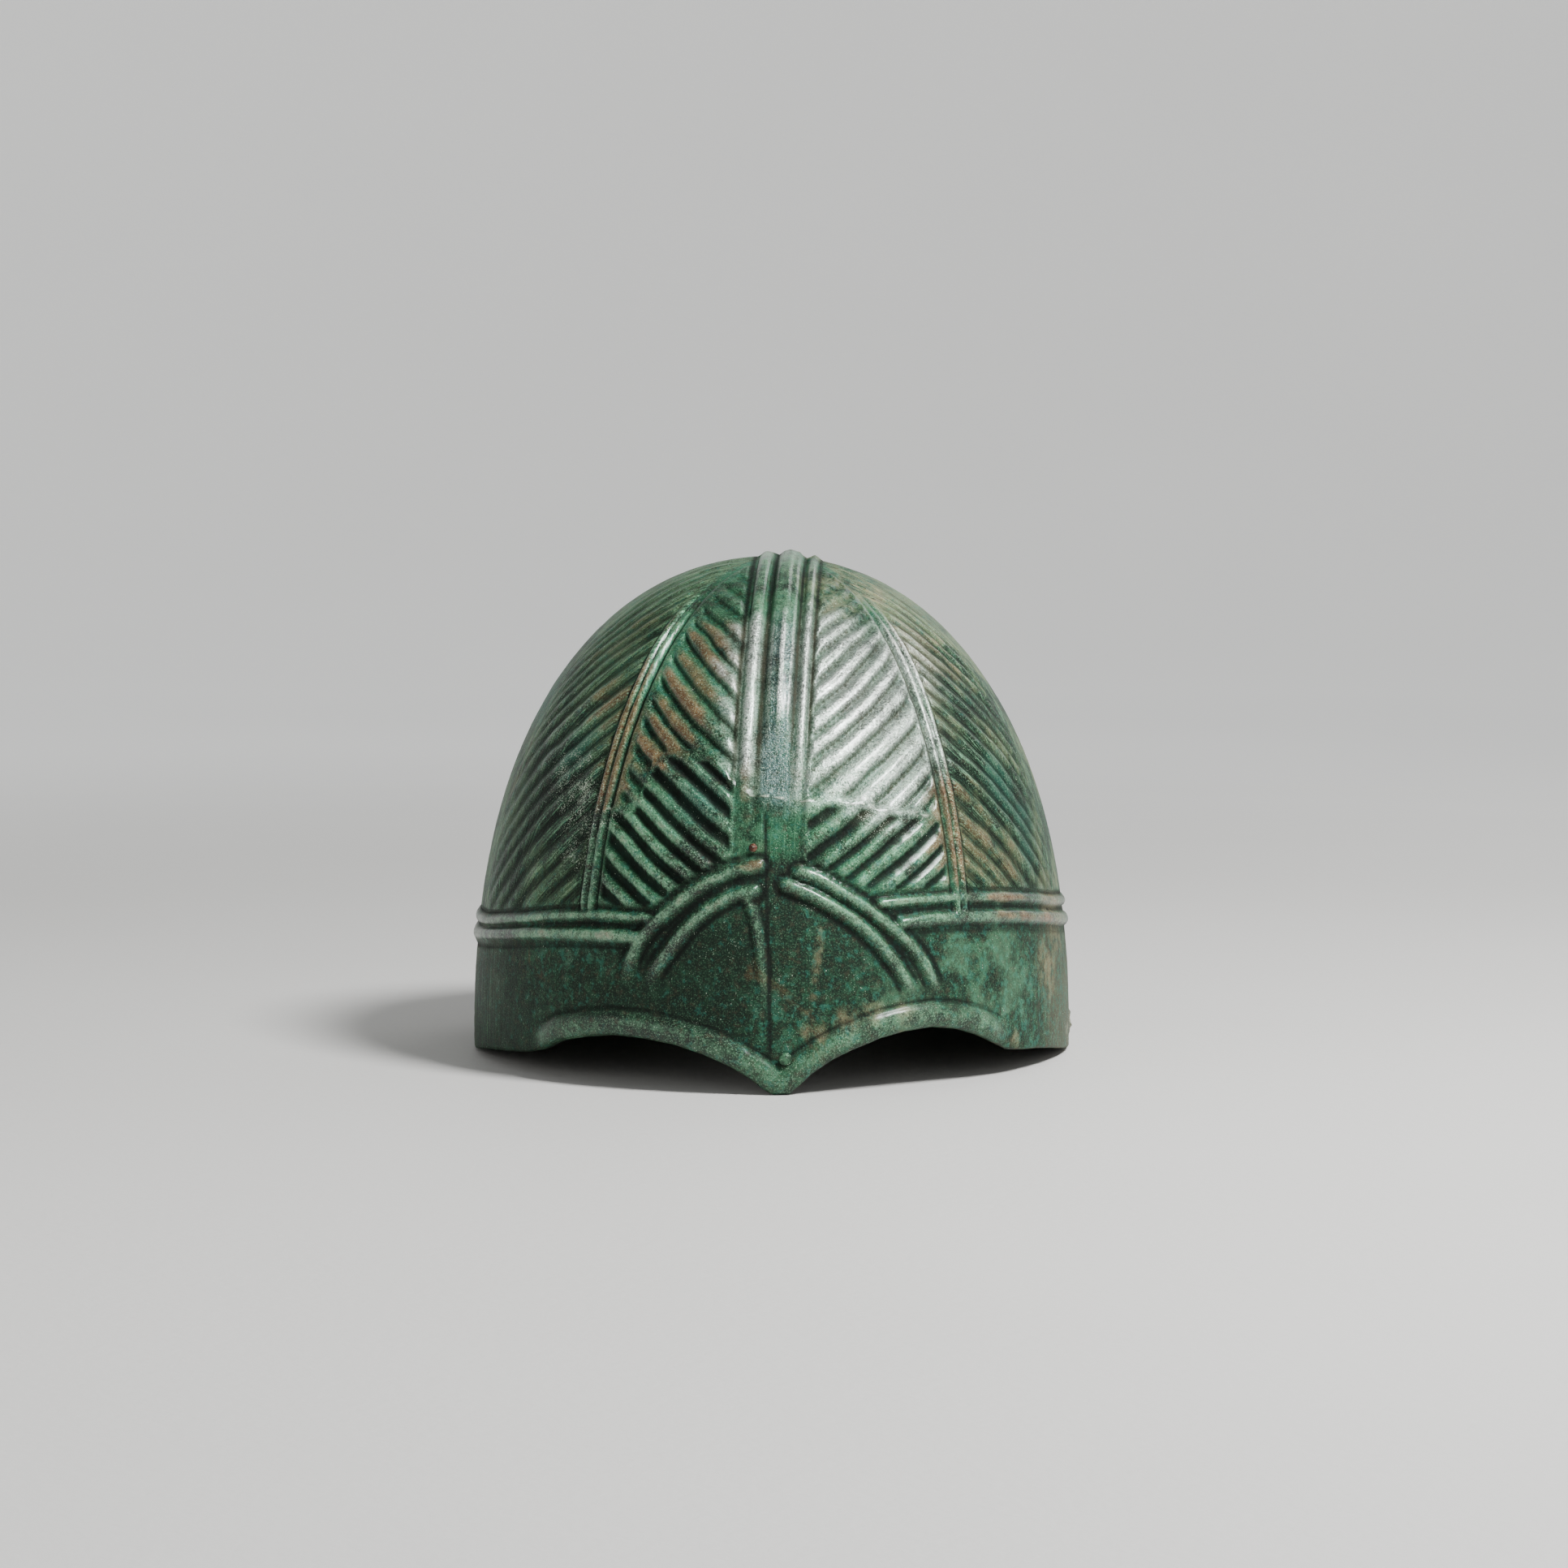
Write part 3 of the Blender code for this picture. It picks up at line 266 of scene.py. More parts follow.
# Patches of the skin: x, y, z and reach, in millimetres
patches = {
    "brownPatch": (
        (-17, -64, 134, 9), (-20, -70, 127, 10), (-26, -77, 117, 11), (-30, -81, 107, 11),
        (-35, -82, 102, 9), (-5, -94, 95, 6), (-5, -97, 89, 6), (-6, -99, 82, 5),
        (-5, -102, 73, 6), (52, -78, 85, 9), (52, -82, 74, 9), (49, -45, 128, 14),
        (45, -42, 133, 11), (54, -44, 123, 11), (56, -75, 85, 11), (62, -73, 73, 13),
        (73, -63, 63, 11), (57, -81, 68, 8), (-40, -41, 139, 11), (-46, -44, 133, 10),
        (-49, -60, 117, 11), (-45, -70, 110, 9), (-48, -74, 100, 9), (-50, -78, 90, 9),
        (84, -51, 32, 16), (89, -42, 18, 13), (71, -69, 56, 8), (80, -62, 50, 6),
        (-14, 66, 133, 15), (34, 88, 88, 18), (-78, 38, 78, 17), (-60, 74, 60, 14),
        (80, 48, 70, 15),
    ),
    # worn metal, its pale colour also a painted sheen; the spots on the crest's left roll are a
    # painted highlight
    "wornMetalAndSheenPatch": (
        (25, -75, 118, 24), (23, -86, 103, 20), (31, -88, 93, 16), (40, -57, 127, 15),
        (19, -63, 134, 14), (38, -77, 105, 16), (5, -70, 130, 13), (5, -82, 116, 15),
        (3, -90, 103, 14), (3, -95, 94, 10), (-5, -74, 127, 11), (-6, -84, 113, 10),
        (-6, -92, 101, 8), (-6, -64, 134, 8), (-12, 50, 148, 16), (16, 84, 112, 18),
    ),
    "beigeDustAndGlintPatch": (
        (18, -37, 150, 13), (27, -32, 149, 12), (19, -49, 144, 9), (88, -38, 49, 10),
        (89, -35, 44, 10), (14, -107, 49, 1.2), (14, -107, 46, 1.4), (13.7, -107.4, 43, 1.6),
        (13.4, -107.7, 40, 1.6), (13, -108, 37, 1.5), (12.6, -108.3, 34, 1.3), (12, -108.8, 29, 1.3),
        (11, -109.5, 24, 1.6), (10, -110, 19, 2), (14, -109, 18, 2.4), (95, -21, 7, 6),
        (96, -8, 8, 6), (75, -70, 11, 3), (20, 30, 156, 10), (86, -46, 30, 9), (-62, 88, 30, 9),
        # these four: beige as a painted warm highlight along the right rim roll
        (22, -107, 22, 4), (30, -105, 24, 4), (40, -101, 24, 4), (62, -86, 12, 3),
    ),
    "tealPatch": (
        (72, -52, 86, 11), (78, -47, 78, 11), (70, -53, 91, 10), (79, -50, 68, 9),
        (-20, -90, 84, 12), (-60, -60, 98, 11), (60, 60, 100, 16), (-70, -10, 112, 16),
        (-30, 100, 60, 14),
    ),
    "mintPatch": (
        (70, -73, 40, 13), (57, -87, 39, 11), (74, -70, 28, 11), (63, -83, 24, 10),
        (-10, -93, 74, 12), (-30, -84, 76, 16), (40, -84, 76, 14), (40, -100, 25, 13),
        (-84, 20, 90, 20), (10, 108, 50, 22), (84, 20, 92, 20), (5, -53, 144, 12),
    ),
    "palePatch": (
        (-58, -73, 86, 11), (-55, -79, 79, 9), (-61, -77, 70, 7), (-63, -64, 92, 10),
        (-71, -35, 107, 1.6), (2.5, -110, 34, 1.3), (3.2, -110, 29.5, 1.3), (30, -92, 84, 8),
        (44, -86, 82, 7), (95, -21, 7, 7), (96, -8, 8, 7), (50, 84, 60, 9),
    ),
}

# Surface of the casting, in metres; the lump's place in degrees and share of the height
castSkin = {
    "ribDepth": 0.00135,
    "seamDepth": 0.0008,
    "ledgeRise": 0.0005,
    "ledgeBead": 0.0004,
    "rimRoll": 0.0078,
    "rimRollRise": 0.0019,
    "sinkDepth": 0.0010,
    "sideGroove": 0.0010,
    "unevenness": 0.00034,
    "lumpRise": 0.0014,
    "lumpSize": 0.0042,
    "lumpDegrees": 86.0,
    "lumpShare": 0.05,
    "seed": 7,
}


def profileTable():
    near = np.geomspace(0.0005, 0.3, 240)
    angle = np.arccos(0.3 ** (bowl["widthPower"] / 2.0))
    far = np.cos(np.linspace(angle, 0.0, 480)[1:]) ** (2.0 / bowl["widthPower"])
    width = np.concatenate((near, far))
    width[-1] = 1.0
    tall = np.maximum(1.0 - width ** bowl["widthPower"], 0.0)
    height = bowl["height"] * tall ** (1.0 / bowl["heightPower"])
    step = np.hypot(meanRadius * np.diff(width), np.diff(height))
    middle = 0.5 * meanRadius * (width[1:] + width[:-1])
    arc = np.concatenate(([0.0], np.cumsum(step))) + meanRadius * width[0]
    chart = np.concatenate(([0.0], np.cumsum(step / middle)))
    return width, height, arc, np.exp(chart - chart[-1])


meanRadius = 0.5 * (bowl["halfWidth"] + bowl["halfLength"])
widthTable, heightTable, arcTable, chartTable = profileTable()
arcTotal = float(arcTable[-1])
crownScale = float(chartTable[0] / widthTable[0])
chartShift = bowl["patternShift"] / meanRadius * crownScale


def radiusAtHeight(z):
    return np.interp(-np.asarray(z, float), -heightTable, chartTable)


def radiusAtArc(arc):
    arc = np.asarray(arc, float)
    near = arc / arcTable[0] * chartTable[0]
    return np.where(arc < arcTable[0], near, np.interp(arc, arcTable, chartTable))


def widthAtRadius(r):
    return np.where(r < chartTable[0], r / crownScale, np.interp(r, chartTable, widthTable))


def heightAtRadius(r):
    return np.interp(r, chartTable, heightTable)


def arcAtRadius(r):
    near = r / chartTable[0] * arcTable[0]
    return np.where(r < chartTable[0], near, np.interp(r, chartTable, arcTable))


def metresPerChart(r):
    r = np.maximum(np.asarray(r, float), 1e-6)
    return meanRadius * widthAtRadius(r) / r


def chartPoint(degrees, share):
    r = radiusAtHeight(np.asarray(share) * bowl["height"])
    turn = np.radians(degrees)
    return np.stack((r * np.sin(turn), -r * np.cos(turn)), axis=-1)


def bowlPoint(chart):
    chart = np.asarray(chart, float).reshape(-1, 2)
    r = np.hypot(chart[:, 0], chart[:, 1])
    share = np.where(r < 1e-9, 1.0 / crownScale, widthAtRadius(r) / np.maximum(r, 1e-9))
    x = bowl["centreX"] + bowl["halfWidth"] * share * chart[:, 0]
    y = bowl["centreY"] + bowl["halfLength"] * share * chart[:, 1]
    return np.stack((x, y, heightAtRadius(r)), axis=1)


def fromPattern(pattern):
    share = 1.0 - np.sum(pattern ** 2, axis=1)
    return pattern + np.stack((chartShift * share, 0.0 * share), axis=1)


def toPattern(chart):
    pattern = chart.copy()
    for _ in range(12):
        pattern[:, 0] = chart[:, 0] - chartShift * (1.0 - np.sum(pattern ** 2, axis=1))
    return pattern


def ease(share):
    share = np.clip(share, 0.0, 1.0)
    return share * share * (3.0 - 2.0 * share)


def smoothPath(path):
    # a rounded path through chart points, cut at an even spacing
    knots = np.vstack((2.0 * path[0] - path[1], path, 2.0 * path[-1] - path[-2]))
    fine = []
    for i in range(1, len(knots) - 2):
        a, b, c, d = knots[i - 1:i + 3]
        for t in np.linspace(0.0, 1.0, 12, endpoint=False):
            fine.append(0.5 * (
                2.0 * b + (c - a) * t + (2.0 * a - 5.0 * b + 4.0 * c - d) * t ** 2
                + (3.0 * b - a - 3.0 * c + d) * t ** 3))
    fine.append(path[-1])
    return evenPath(np.array(fine))


def evenPath(path):
    points = bowlPoint(path)
    along = np.concatenate(([0.0], np.cumsum(np.linalg.norm(np.diff(points, axis=0), axis=1))))
    places = np.linspace(0.0, along[-1], max(int(round(along[-1] / ridge["pathStep"])), 1) + 1)
    return np.stack([np.interp(places, along, path[:, k]) for k in (0, 1)], axis=1)


def degreesPath(pairs):
    pairs = np.array(pairs)
    return smoothPath(chartPoint(pairs[:, 0], pairs[:, 1]))


def crestPath(name, first, last):
    shares = np.linspace(-first, last, 121)
    side = np.interp(np.abs(shares), crest["shares"], crest[name]) * bowl["halfWidth"]
    r = radiusAtArc(np.abs(shares) * arcTotal)
    pattern = np.stack((side / metresPerChart(r), np.sign(shares) * r), axis=1)
    return evenPath(fromPattern(pattern))


def ridgePath(azimuth, side, head, foot):
    z = np.linspace(head, foot, 60) * bowl["height"]
    r = radiusAtArc(np.interp(-z, -heightTable, arcTable))
    turn = np.radians(azimuth) + side / (meanRadius * widthAtRadius(r))
    pattern = np.stack((r * np.sin(turn), -r * np.cos(turn)), axis=1)
    return evenPath(fromPattern(pattern))


def pathObject(name, lines):
    # chart paths as one mesh of edges, with half width and rise at each point
    places, halves, rises, edges = [], [], [], []
    for path, (half, rise, fadeStart, fadeEnd) in lines:
        points = bowlPoint(path)
        share = np.linspace(0.0, 1.0, len(points))
        level = np.ones(len(points))
        if fadeStart:
            level = np.minimum(level, ease(share / fadeStart))
        if fadeEnd:
            level = np.minimum(level, ease((1.0 - share) / fadeEnd))
        base = len(places)
        places.extend(points.tolist())
        halves.extend([half] * len(points))
        rises.extend((rise * level).tolist())
        edges.extend((base + i, base + i + 1) for i in range(len(points) - 1))
    mesh = bpy.data.meshes.new(name)
    mesh.from_pydata(places, edges, [])
    for key, values in (("half", halves), ("rise", rises)):
        mesh.attributes.new(key, "FLOAT", "POINT").data.foreach_set("value", values)
    made = bpy.data.objects.new(name, mesh)
    bpy.context.scene.collection.objects.link(made)
    return made


def rollPaths():
    front, back = bowl["ridgeAzimuth"], 180.0 - bowl["ridgeAzimuth"]
    ridges = [
        ridgePath(azimuth, side, ridge["head"], foot)
        for azimuth, foot in ((front, ridge["frontFoot"]), (-front, ridge["frontFoot"]),
                              (back, ridge["backFoot"]), (-back, ridge["backFoot"]))
        for side in (-ridge["apart"], ridge["apart"])]
    degrees = np.linspace(-ridge["rimDegrees"], ridge["rimDegrees"], 240)
    lines = {
        "Arches": [(degreesPath(line), rolls[key]) for key, line in archLines.items()],
        "Bands": [(degreesPath(line), rolls[key]) for key, line in bandLines.items()],
        "Ridges": [(line, rolls["ridge"]) for line in ridges],
        "Crest rolls": [(crestPath(key, crest[first], crest["backEnd"]), rolls[key])
                        for key, first in (("leftRoll", "leftFirst"), ("rightRoll", "rightFirst"))],
        "Nasal roll": [(degreesPath(nasalLine), rolls["nasal"])],
        "Seam": [(degreesPath(seamLine), rolls["seam"])],
        "Rim": [(chartPoint(degrees, levelAlong(rimEdge, degrees)), rolls["rim"])],
    }
    return {name: pathObject(name, some) for name, some in lines.items()}


def levelAlong(line, places):
    return np.interp(places, line[:, 0], line[:, 1])


def ribFields(chart):
    # which rib each place belongs to, how far it is from its field's edge, and the stroke lines
    pattern = toPattern(chart)
    r = np.hypot(pattern[:, 0], pattern[:, 1])
    turn = np.degrees(np.arctan2(pattern[:, 0], -pattern[:, 1]))
    back = np.abs(turn) > 90.0
    folded = np.abs(np.where(back, 180.0 - np.abs(turn), turn))
    arc = arcAtRadius(r)
    around = meanRadius * widthAtRadius(r)
    early = np.minimum(arc / (bowl["leanShare"] * arcTotal), 1.0)
    off = np.radians(folded - bowl["ridgeAzimuth"])
    inner = folded < bowl["ridgeAzimuth"]
    left = turn > 0.0
    panel = np.where(inner, np.where(back, 4, 0), np.where(back, 6, 2)) + left
    trueTurn = np.degrees(np.arctan2(chart[:, 0], -chart[:, 1]))
    z = heightAtRadius(np.hypot(chart[:, 0], chart[:, 1]))
    breakAt = bowl["height"] * levelAlong(breakLine, trueTurn)
    below = ease((breakAt - z) / ribs["breakFade"])
    outward = ease(folded / ribs["outward"])
    count, foot, shoulder, rise, edge, skew = (np.zeros(len(chart)) for _ in range(6))
    for i, one in enumerate(ribPanels.values()):
        here = panel == i
        fromCrest = one["lean"] > 0.0
        swing = np.radians(folded[here])
        if not fromCrest:
            swing = off[here] * (1.0 + ribs["curl"] * off[here] ** 2)
        level = arc[here] + one["lean"] * early[here] * swing
        tops = np.array(one["tops"]) * 0.001
        knots = np.concatenate(([tops[0] - ribs["beyond"]], tops, [tops[-1] + ribs["beyond"]]))
        numbers = np.concatenate(([-1.5], np.arange(len(tops)) + 0.5, [len(tops) + 1.5]))
        count[here] = np.interp(level, knots, numbers)
        for values, (nearCrest, nearRidge, low) in ((foot, one["hollow"]), (shoulder, one["full"])):
            high = nearCrest + (nearRidge - nearCrest) * outward[here]
            values[here] = high + (low - high) * below[here]
        rise[here], edge[here] = one["rise"], one["edge"]
        skew[here] = ribs["skew"] * fromCrest
    share = arcAtRadius(np.abs(pattern[:, 1])) / arcTotal
    side = pattern[:, 0] * metresPerChart(np.abs(pattern[:, 1]))
    leftEdge = crestSide("leftRoll", share) - crest["leftHalf"]
    rightEdge = crestSide("rightRoll", share) + crest["rightHalf"]
    toRidge = np.abs(off) * around - ribs["ridgeGap"]
    toCrest = np.where(side > 0.0, side - rightEdge, leftEdge - side)
    toFloor = z - bowl["height"] * levelAlong(fieldFloor, trueTurn) - ribs["floorGap"]
    toTop = arc - bowl["fieldTop"] * arcTotal
    # the grooves end bluntly short of the ridges, most on the right brow panel above the break
    upper, lower, beside, others = ribs["bluntGaps"]
    gap = np.choose(np.minimum(panel, 2), (np.where(z > breakAt, upper, lower), beside, others))
    field = np.minimum.reduce((toRidge, toCrest, toFloor, toTop))
    room = np.minimum.reduce((toRidge - gap, toCrest - ribs["crestGap"] * inner, toFloor, toTop))
    rise = rise * ease((bowl["fieldSide"] - folded) / bowl["fieldFade"])
    base, gain, start, reach = ribs["crownRise"]
    rise = rise * (base + gain * ease((arc - start) / reach))
    # strokes run with the ribs, then upright towards the ears, fainter at the ears and the top
    strokeAcross = np.where(
        inner, arc + lean["inner"] * early * np.radians(folded),
        arc + lean["side"] * early * (off + strokes["curl"] * off ** 3))
    strokeAlong = arc + around * np.radians(folded)
    upright = fadeIn(folded, "upright")
    uprightAcross = strokes["uprightPitch"] * around * np.radians(90.0 - folded)
    strokeAcross += upright * (uprightAcross - strokeAcross)
    strokeAlong += upright * (arc - strokeAlong)
    strokeAlong += strokes["backShift"] * back + strokes["leftShift"] * left
    faint = strokes["faint"] + strokes["earFaint"] * fadeIn(folded, "ear")
    faint = faint + strokes["topFaint"] * fadeIn(arc, "top")
    strokeGain = np.where(inner, strokes["innerGain"], strokes["sideGain"] - upright * faint)
    # along the crest, and down the plain wall below the band
    onCrest = toCrest < 0.0
    low = (toFloor < 0.0) & ~(onCrest & (z > breakAt))
    lowGain = strokes["lowGain"] + strokes["lowSideGain"] * fadeIn(np.abs(trueTurn), "upright")
    for here, across, gain in (
        (onCrest, side, strokes["crestGain"]),
        (low, around * np.radians(trueTurn), lowGain),
    ):
        strokeAcross = np.where(here, across, strokeAcross)
        strokeAlong = np.where(here, arc, strokeAlong)
        strokeGain = np.where(here, gain, strokeGain)
    dry = ease((folded - bowl["ridgeAzimuth"]) / dryness["ridgeFade"])
    dry = dry * ease(toFloor / dryness["floorFade"])
    dry = np.maximum(dry, low * dryness["low"] * fadeIn(np.abs(trueTurn), "dry"))
    dry = dry * np.where(left, 1.0, dryness["right"])
    onBrow = np.abs(trueTurn) < breakLine[-1, 0]
    return {
        "ribCount": count,
        "ribPanel": panel.astype(float),
        "ribFoot": foot,
        "ribShoulder": shoulder,
        "ribEdge": edge,
        "ribSkew": skew,
        "ribRise": rise,
        "ribRoom": room,
        "dry": dry,
        "plainWall": low * 1.0,
        "strokeAcross": strokeAcross,
        "strokeAlong": strokeAlong,
        "strokeGain": strokeGain,
        "fieldShare": ease(field / ribs["edgeFade"]),
        "crestAcross": crestShare(share, side),
        "crestGain": crestFade(pattern, share),
        "breakSide": np.where(onBrow, z - breakAt, 1.0),
        "breakGain": fadeIn(np.abs(trueTurn), "break") * onBrow,
    }


def fadeIn(value, name):
    start, reach = fades[name]
    return ease((value - start) / reach)


def crestSide(name, share):
    return bowl["halfWidth"] * np.interp(share, crest["shares"], crest[name])


def crestShare(share, side):
    left, right = crestSide("leftEdge", share), crestSide("rightEdge", share)
    return np.clip((side - 0.5 * (left + right)) / (0.5 * (right - left)), -3.0, 3.0)


def crestFade(pattern, share):
    onFront = pattern[:, 1] < 0.0
    end = np.where(onFront, crest["frontEnd"], crest["backEnd"])
    return ease((end - share) / np.where(onFront, crest["frontFade"], crest["backFade"]))


# Plain fields under the brow arches, a little below the strip between them: which side, the edge
# beside the nose as share of the height and degrees, fade in metres, share of the full depth
sunkPlaces = {
    "leftInner": {"sign": 1.0, "edge": ((0.0, 6.2), (0.4, 4.6)), "fade": 0.005, "depth": 0.6},
    "rightInner": {"sign": -1.0, "edge": [(share, -degrees) for degrees, share in nasalLine[::-1]],
                   "fade": 0.0035, "depth": 1.0},
}
sunkGaps = {"side": 0.0012, "top": 0.0022}


def sunkFields(chart):
    degrees = np.degrees(np.arctan2(chart[:, 0], -chart[:, 1]))
    z = heightAtRadius(np.hypot(chart[:, 0], chart[:, 1]))
    height = bowl["height"]
    low = z - levelAlong(rimEdge, degrees) * height - castSkin["rimRoll"]
    sunk = np.zeros(len(chart))
    for key, one in sunkPlaces.items():
        sign, arch = one["sign"], np.array(archLines[key])
        order = np.argsort(sign * arch[:, 0])
        top = np.interp(sign * degrees, sign * arch[order, 0], arch[order, 1], -1.0, -1.0) * height
        edge = levelAlong(np.array(one["edge"]), z / height)
        side = np.radians(sign * degrees - edge) * meanRadius - sunkGaps["side"]
        room = np.minimum.reduce((top - z - sunkGaps["top"], low, side))
        sunk = np.maximum(sunk, ease(room / one["fade"]) * one["depth"])
    return sunk


# The sheet that the shell is made from: degrees between columns, and rows from the crown down the
# outside, round the lip and up the inside, by arc in metres. bandRows are shares from the middle
# of the band's upper roll to that of the lower one. lipRows are inset, lift in millimetres, outside.
sheet = {
    "front": 60.0, "back": 120.0,
    "frontStep": 0.42, "sideStep": 1.2, "backStep": 0.85,
    "crownArc": 0.003, "fieldArc": 0.045, "crownRows": 25, "fieldRows": 92,
    "aboveBand": 0.0022, "belowBand": 0.0028,
    "bandRows": (-0.26, -0.17, -0.08, 0.0, 0.08, 0.17, 0.26, 0.33, 0.42, 0.52, 0.60, 0.67,
                 0.78, 0.89, 1.0, 1.11, 1.22, 1.33, 1.43),
    "lowRows": 32, "lowCrowding": 0.25, "lipRise": 0.0008,
    "lipRows": ((0.09, 0.25, 0.85), (0.33, 0.0, 0.4), (0.67, 0.0, 0.1), (0.91, 0.25, 0.0),
                (1.0, 0.8, 0.0)),
    "insideRows": 10,
    "patchReach": 1.6,
}
# Rings that the diagonals follow under the brow arches: degrees, shares of the height
archRings = {"count": 20.0, "half": 32.0, "foot": 0.15, "rise": 0.26, "reach": 34.0, "from": 0.14}


def columnDegrees():
    front = np.arange(0.0, sheet["front"], sheet["frontStep"])
    side = np.arange(sheet["front"], sheet["back"] - 0.1, sheet["sideStep"])
    backCount = int((180.0 - sheet["back"]) / sheet["backStep"]) + 1
    back = np.linspace(sheet["back"], 180.0, backCount)
    half = np.concatenate((front, side, back))
    return np.concatenate((-half[1:-1][::-1], half))


def sheetRows(degrees):
    # per row: arc or height at each column, inset of the wall, share of the outside
    height = bowl["height"]
    rimZ = levelAlong(rimEdge, degrees) * height
    lipArc = np.interp(-(rimZ + sheet["lipRise"]), -heightTable, arcTable)
    upper, lower = (np.interp(
        -height * levelAlong(np.array(bandLines[key]), degrees % 360.0), -heightTable, arcTable)
        for key in ("upper", "lower"))
    rows = []

    def addRows(start, end, shares):
        for share in shares:
            rows.append((start + (end - start) * share + np.zeros(len(degrees)), None, 0.0, 1.0))

    # crown, rib fields, the two rolls of the band with the groove between, then down to the lip
    addRows(sheet["crownArc"], sheet["fieldArc"], np.linspace(0.0, 1.0, sheet["crownRows"]))
    fieldShares = np.linspace(0.0, 1.0, sheet["fieldRows"])[1:]
    addRows(sheet["fieldArc"], upper - sheet["aboveBand"], fieldShares)
    addRows(upper, lower, sheet["bandRows"])
    below = np.linspace(0.0, 1.0, sheet["lowRows"])[1:]
    crowding = sheet["lowCrowding"]
    addRows(lower + sheet["belowBand"], lipArc, below * (1.0 + crowding - crowding * below))
    for inset, lift, outer in sheet["lipRows"]:
        rows.append((None, rimZ + lift * 0.001, inset, outer))
    inside = sheet["insideRows"] + 1
    for k in range(1, inside):
        rows.append((lipArc * (1.0 - k / inside), None, 1.0, 0.0))
    return rows


def sheetFaces(count, columns, along):
    # each square is cut along the diagonal that runs with the ribs; a fan closes each pole
    faces = []
    top, bottom = count * columns, count * columns + 1
    last = (count - 1) * columns
    for j in range(columns):
        k = (j + 1) % columns
        faces.append((top, j, k))
        faces.append((bottom, last + k, last + j))
        for i in range(count - 1):
            a, b = i * columns, (i + 1) * columns
            if abs(along[b + j] - along[a + k]) < abs(along[b + k] - along[a + j]):
                faces.extend(((b + j, b + k, a + k), (b + j, a + k, a + j)))
            else:
                faces.extend(((b + j, b + k, a + j), (b + k, a + k, a + j)))
    return faces


def makeBlank():
    # a closed sheet with all it needs to know stored as attributes
    degrees = columnDegrees()
    height = bowl["height"]
    values = {key: [] for key in ("turn", "across", "up", "inset", "outer")}
    rows = sheetRows(degrees)
    for arc, z, inset, outer in rows:
        if z is None:
            across = np.interp(arc, arcTable, widthTable)
            up = np.interp(arc, arcTable, heightTable) / height
        else:
            up = z / (height - inset * bowl["wall"])
            across = (1.0 - up ** bowl["heightPower"]) ** (1.0 / bowl["widthPower"])
        row = (np.radians(degrees), across, up, inset + 0.0 * up, outer + 0.0 * up)
        for key, value in zip(values, row):
            values[key].append(value)
    # the last two points are the outer and the inner pole
    for key, poles in zip(values, ((0.0, 0.0), (0.0, 0.0), (1.0, 1.0), (0.0, 1.0), (1.0, 0.0))):
        values[key] = np.concatenate((*values[key], poles))
    r = np.interp(values["across"], widthTable, chartTable)
    r = np.where(values["across"] < widthTable[0], values["across"] * crownScale, r)
    chart = np.stack((r * np.sin(values["turn"]), -r * np.cos(values["turn"])), axis=1)
    values.update(ribFields(chart))
    values["sunk"] = sunkFields(chart)
    points = bowlPoint(chart)
    for key, spots in patches.items():
        level = np.zeros(len(points))
        for x, y, z, reach in spots:
            away = np.linalg.norm(points * 1000.0 - (x, y, z), axis=1)
            level = np.maximum(level, 1.0 - away / (sheet["patchReach"] * reach))
        values[key] = level * values["outer"]
    # the squares' diagonals run with the ribs, and with rings round the brow below them
    level, far = heightAtRadius(r) / height, np.degrees(values["turn"])
    rings = archRings["count"] * np.hypot(
        far / archRings["half"], (level - archRings["foot"]) / archRings["rise"])
    below = (np.abs(far) < archRings["reach"]) & (level < levelAlong(fieldFloor, far))
    along = np.where(below & (level > archRings["from"]), rings, values["ribCount"])
    mesh = bpy.data.meshes.new("castShellBlank")
    mesh.from_pydata(points.tolist(), [], sheetFaces(len(rows), len(degrees), along))
    for key, value in values.items():
        attribute = mesh.attributes.new(key, "FLOAT", "POINT")
        attribute.data.foreach_set("value", np.asarray(value, np.float32))
    mesh.polygons.foreach_set("use_smooth", [True] * len(mesh.polygons))
    made = bpy.data.objects.new("cast_shell_skin", mesh)
    bpy.context.scene.collection.objects.link(made)
    return made


class Term:
    # a socket that can stand in a sum, in shader trees and geometry trees alike
    def __init__(self, tree, socket):
        self.tree = tree
        self.socket = socket

    def math(self, operation, *others, first=None):
        node = self.tree.nodes.new("ShaderNodeMath")
        node.operation = operation
        values = (self,) + others if first is None else (first, self)
        for i, value in enumerate(values):
            if isinstance(value, Term):
                self.tree.links.new(value.socket, node.inputs[i])
            else:
                node.inputs[i].default_value = value
        return Term(self.tree, node.outputs[0])

    def __add__(self, other):
        return self.math("ADD", other)

    def __radd__(self, other):
        return self.math("ADD", other)

    def __sub__(self, other):
        return self.math("SUBTRACT", other)

    def __rsub__(self, other):
        return self.math("SUBTRACT", first=other)

    def __mul__(self, other):
        return self.math("MULTIPLY", other)

    def __rmul__(self, other):
        return self.math("MULTIPLY", other)

    def __truediv__(self, other):
        return self.math("DIVIDE", other)

    def __rtruediv__(self, other):
        return self.math("DIVIDE", first=other)

    def __pow__(self, other):
        return self.math("POWER", other)

    def __neg__(self):
        return self.math("MULTIPLY", -1.0)

    def __abs__(self):
        return self.math("ABSOLUTE")

    def least(self, other):
        return self.math("MINIMUM", other)

    def most(self, other):
        return self.math("MAXIMUM", other)

    def floor(self):
        return self.math("FLOOR")

    def part(self):
        return self.math("FRACT")

    def wave(self):
        return self.math("COSINE")


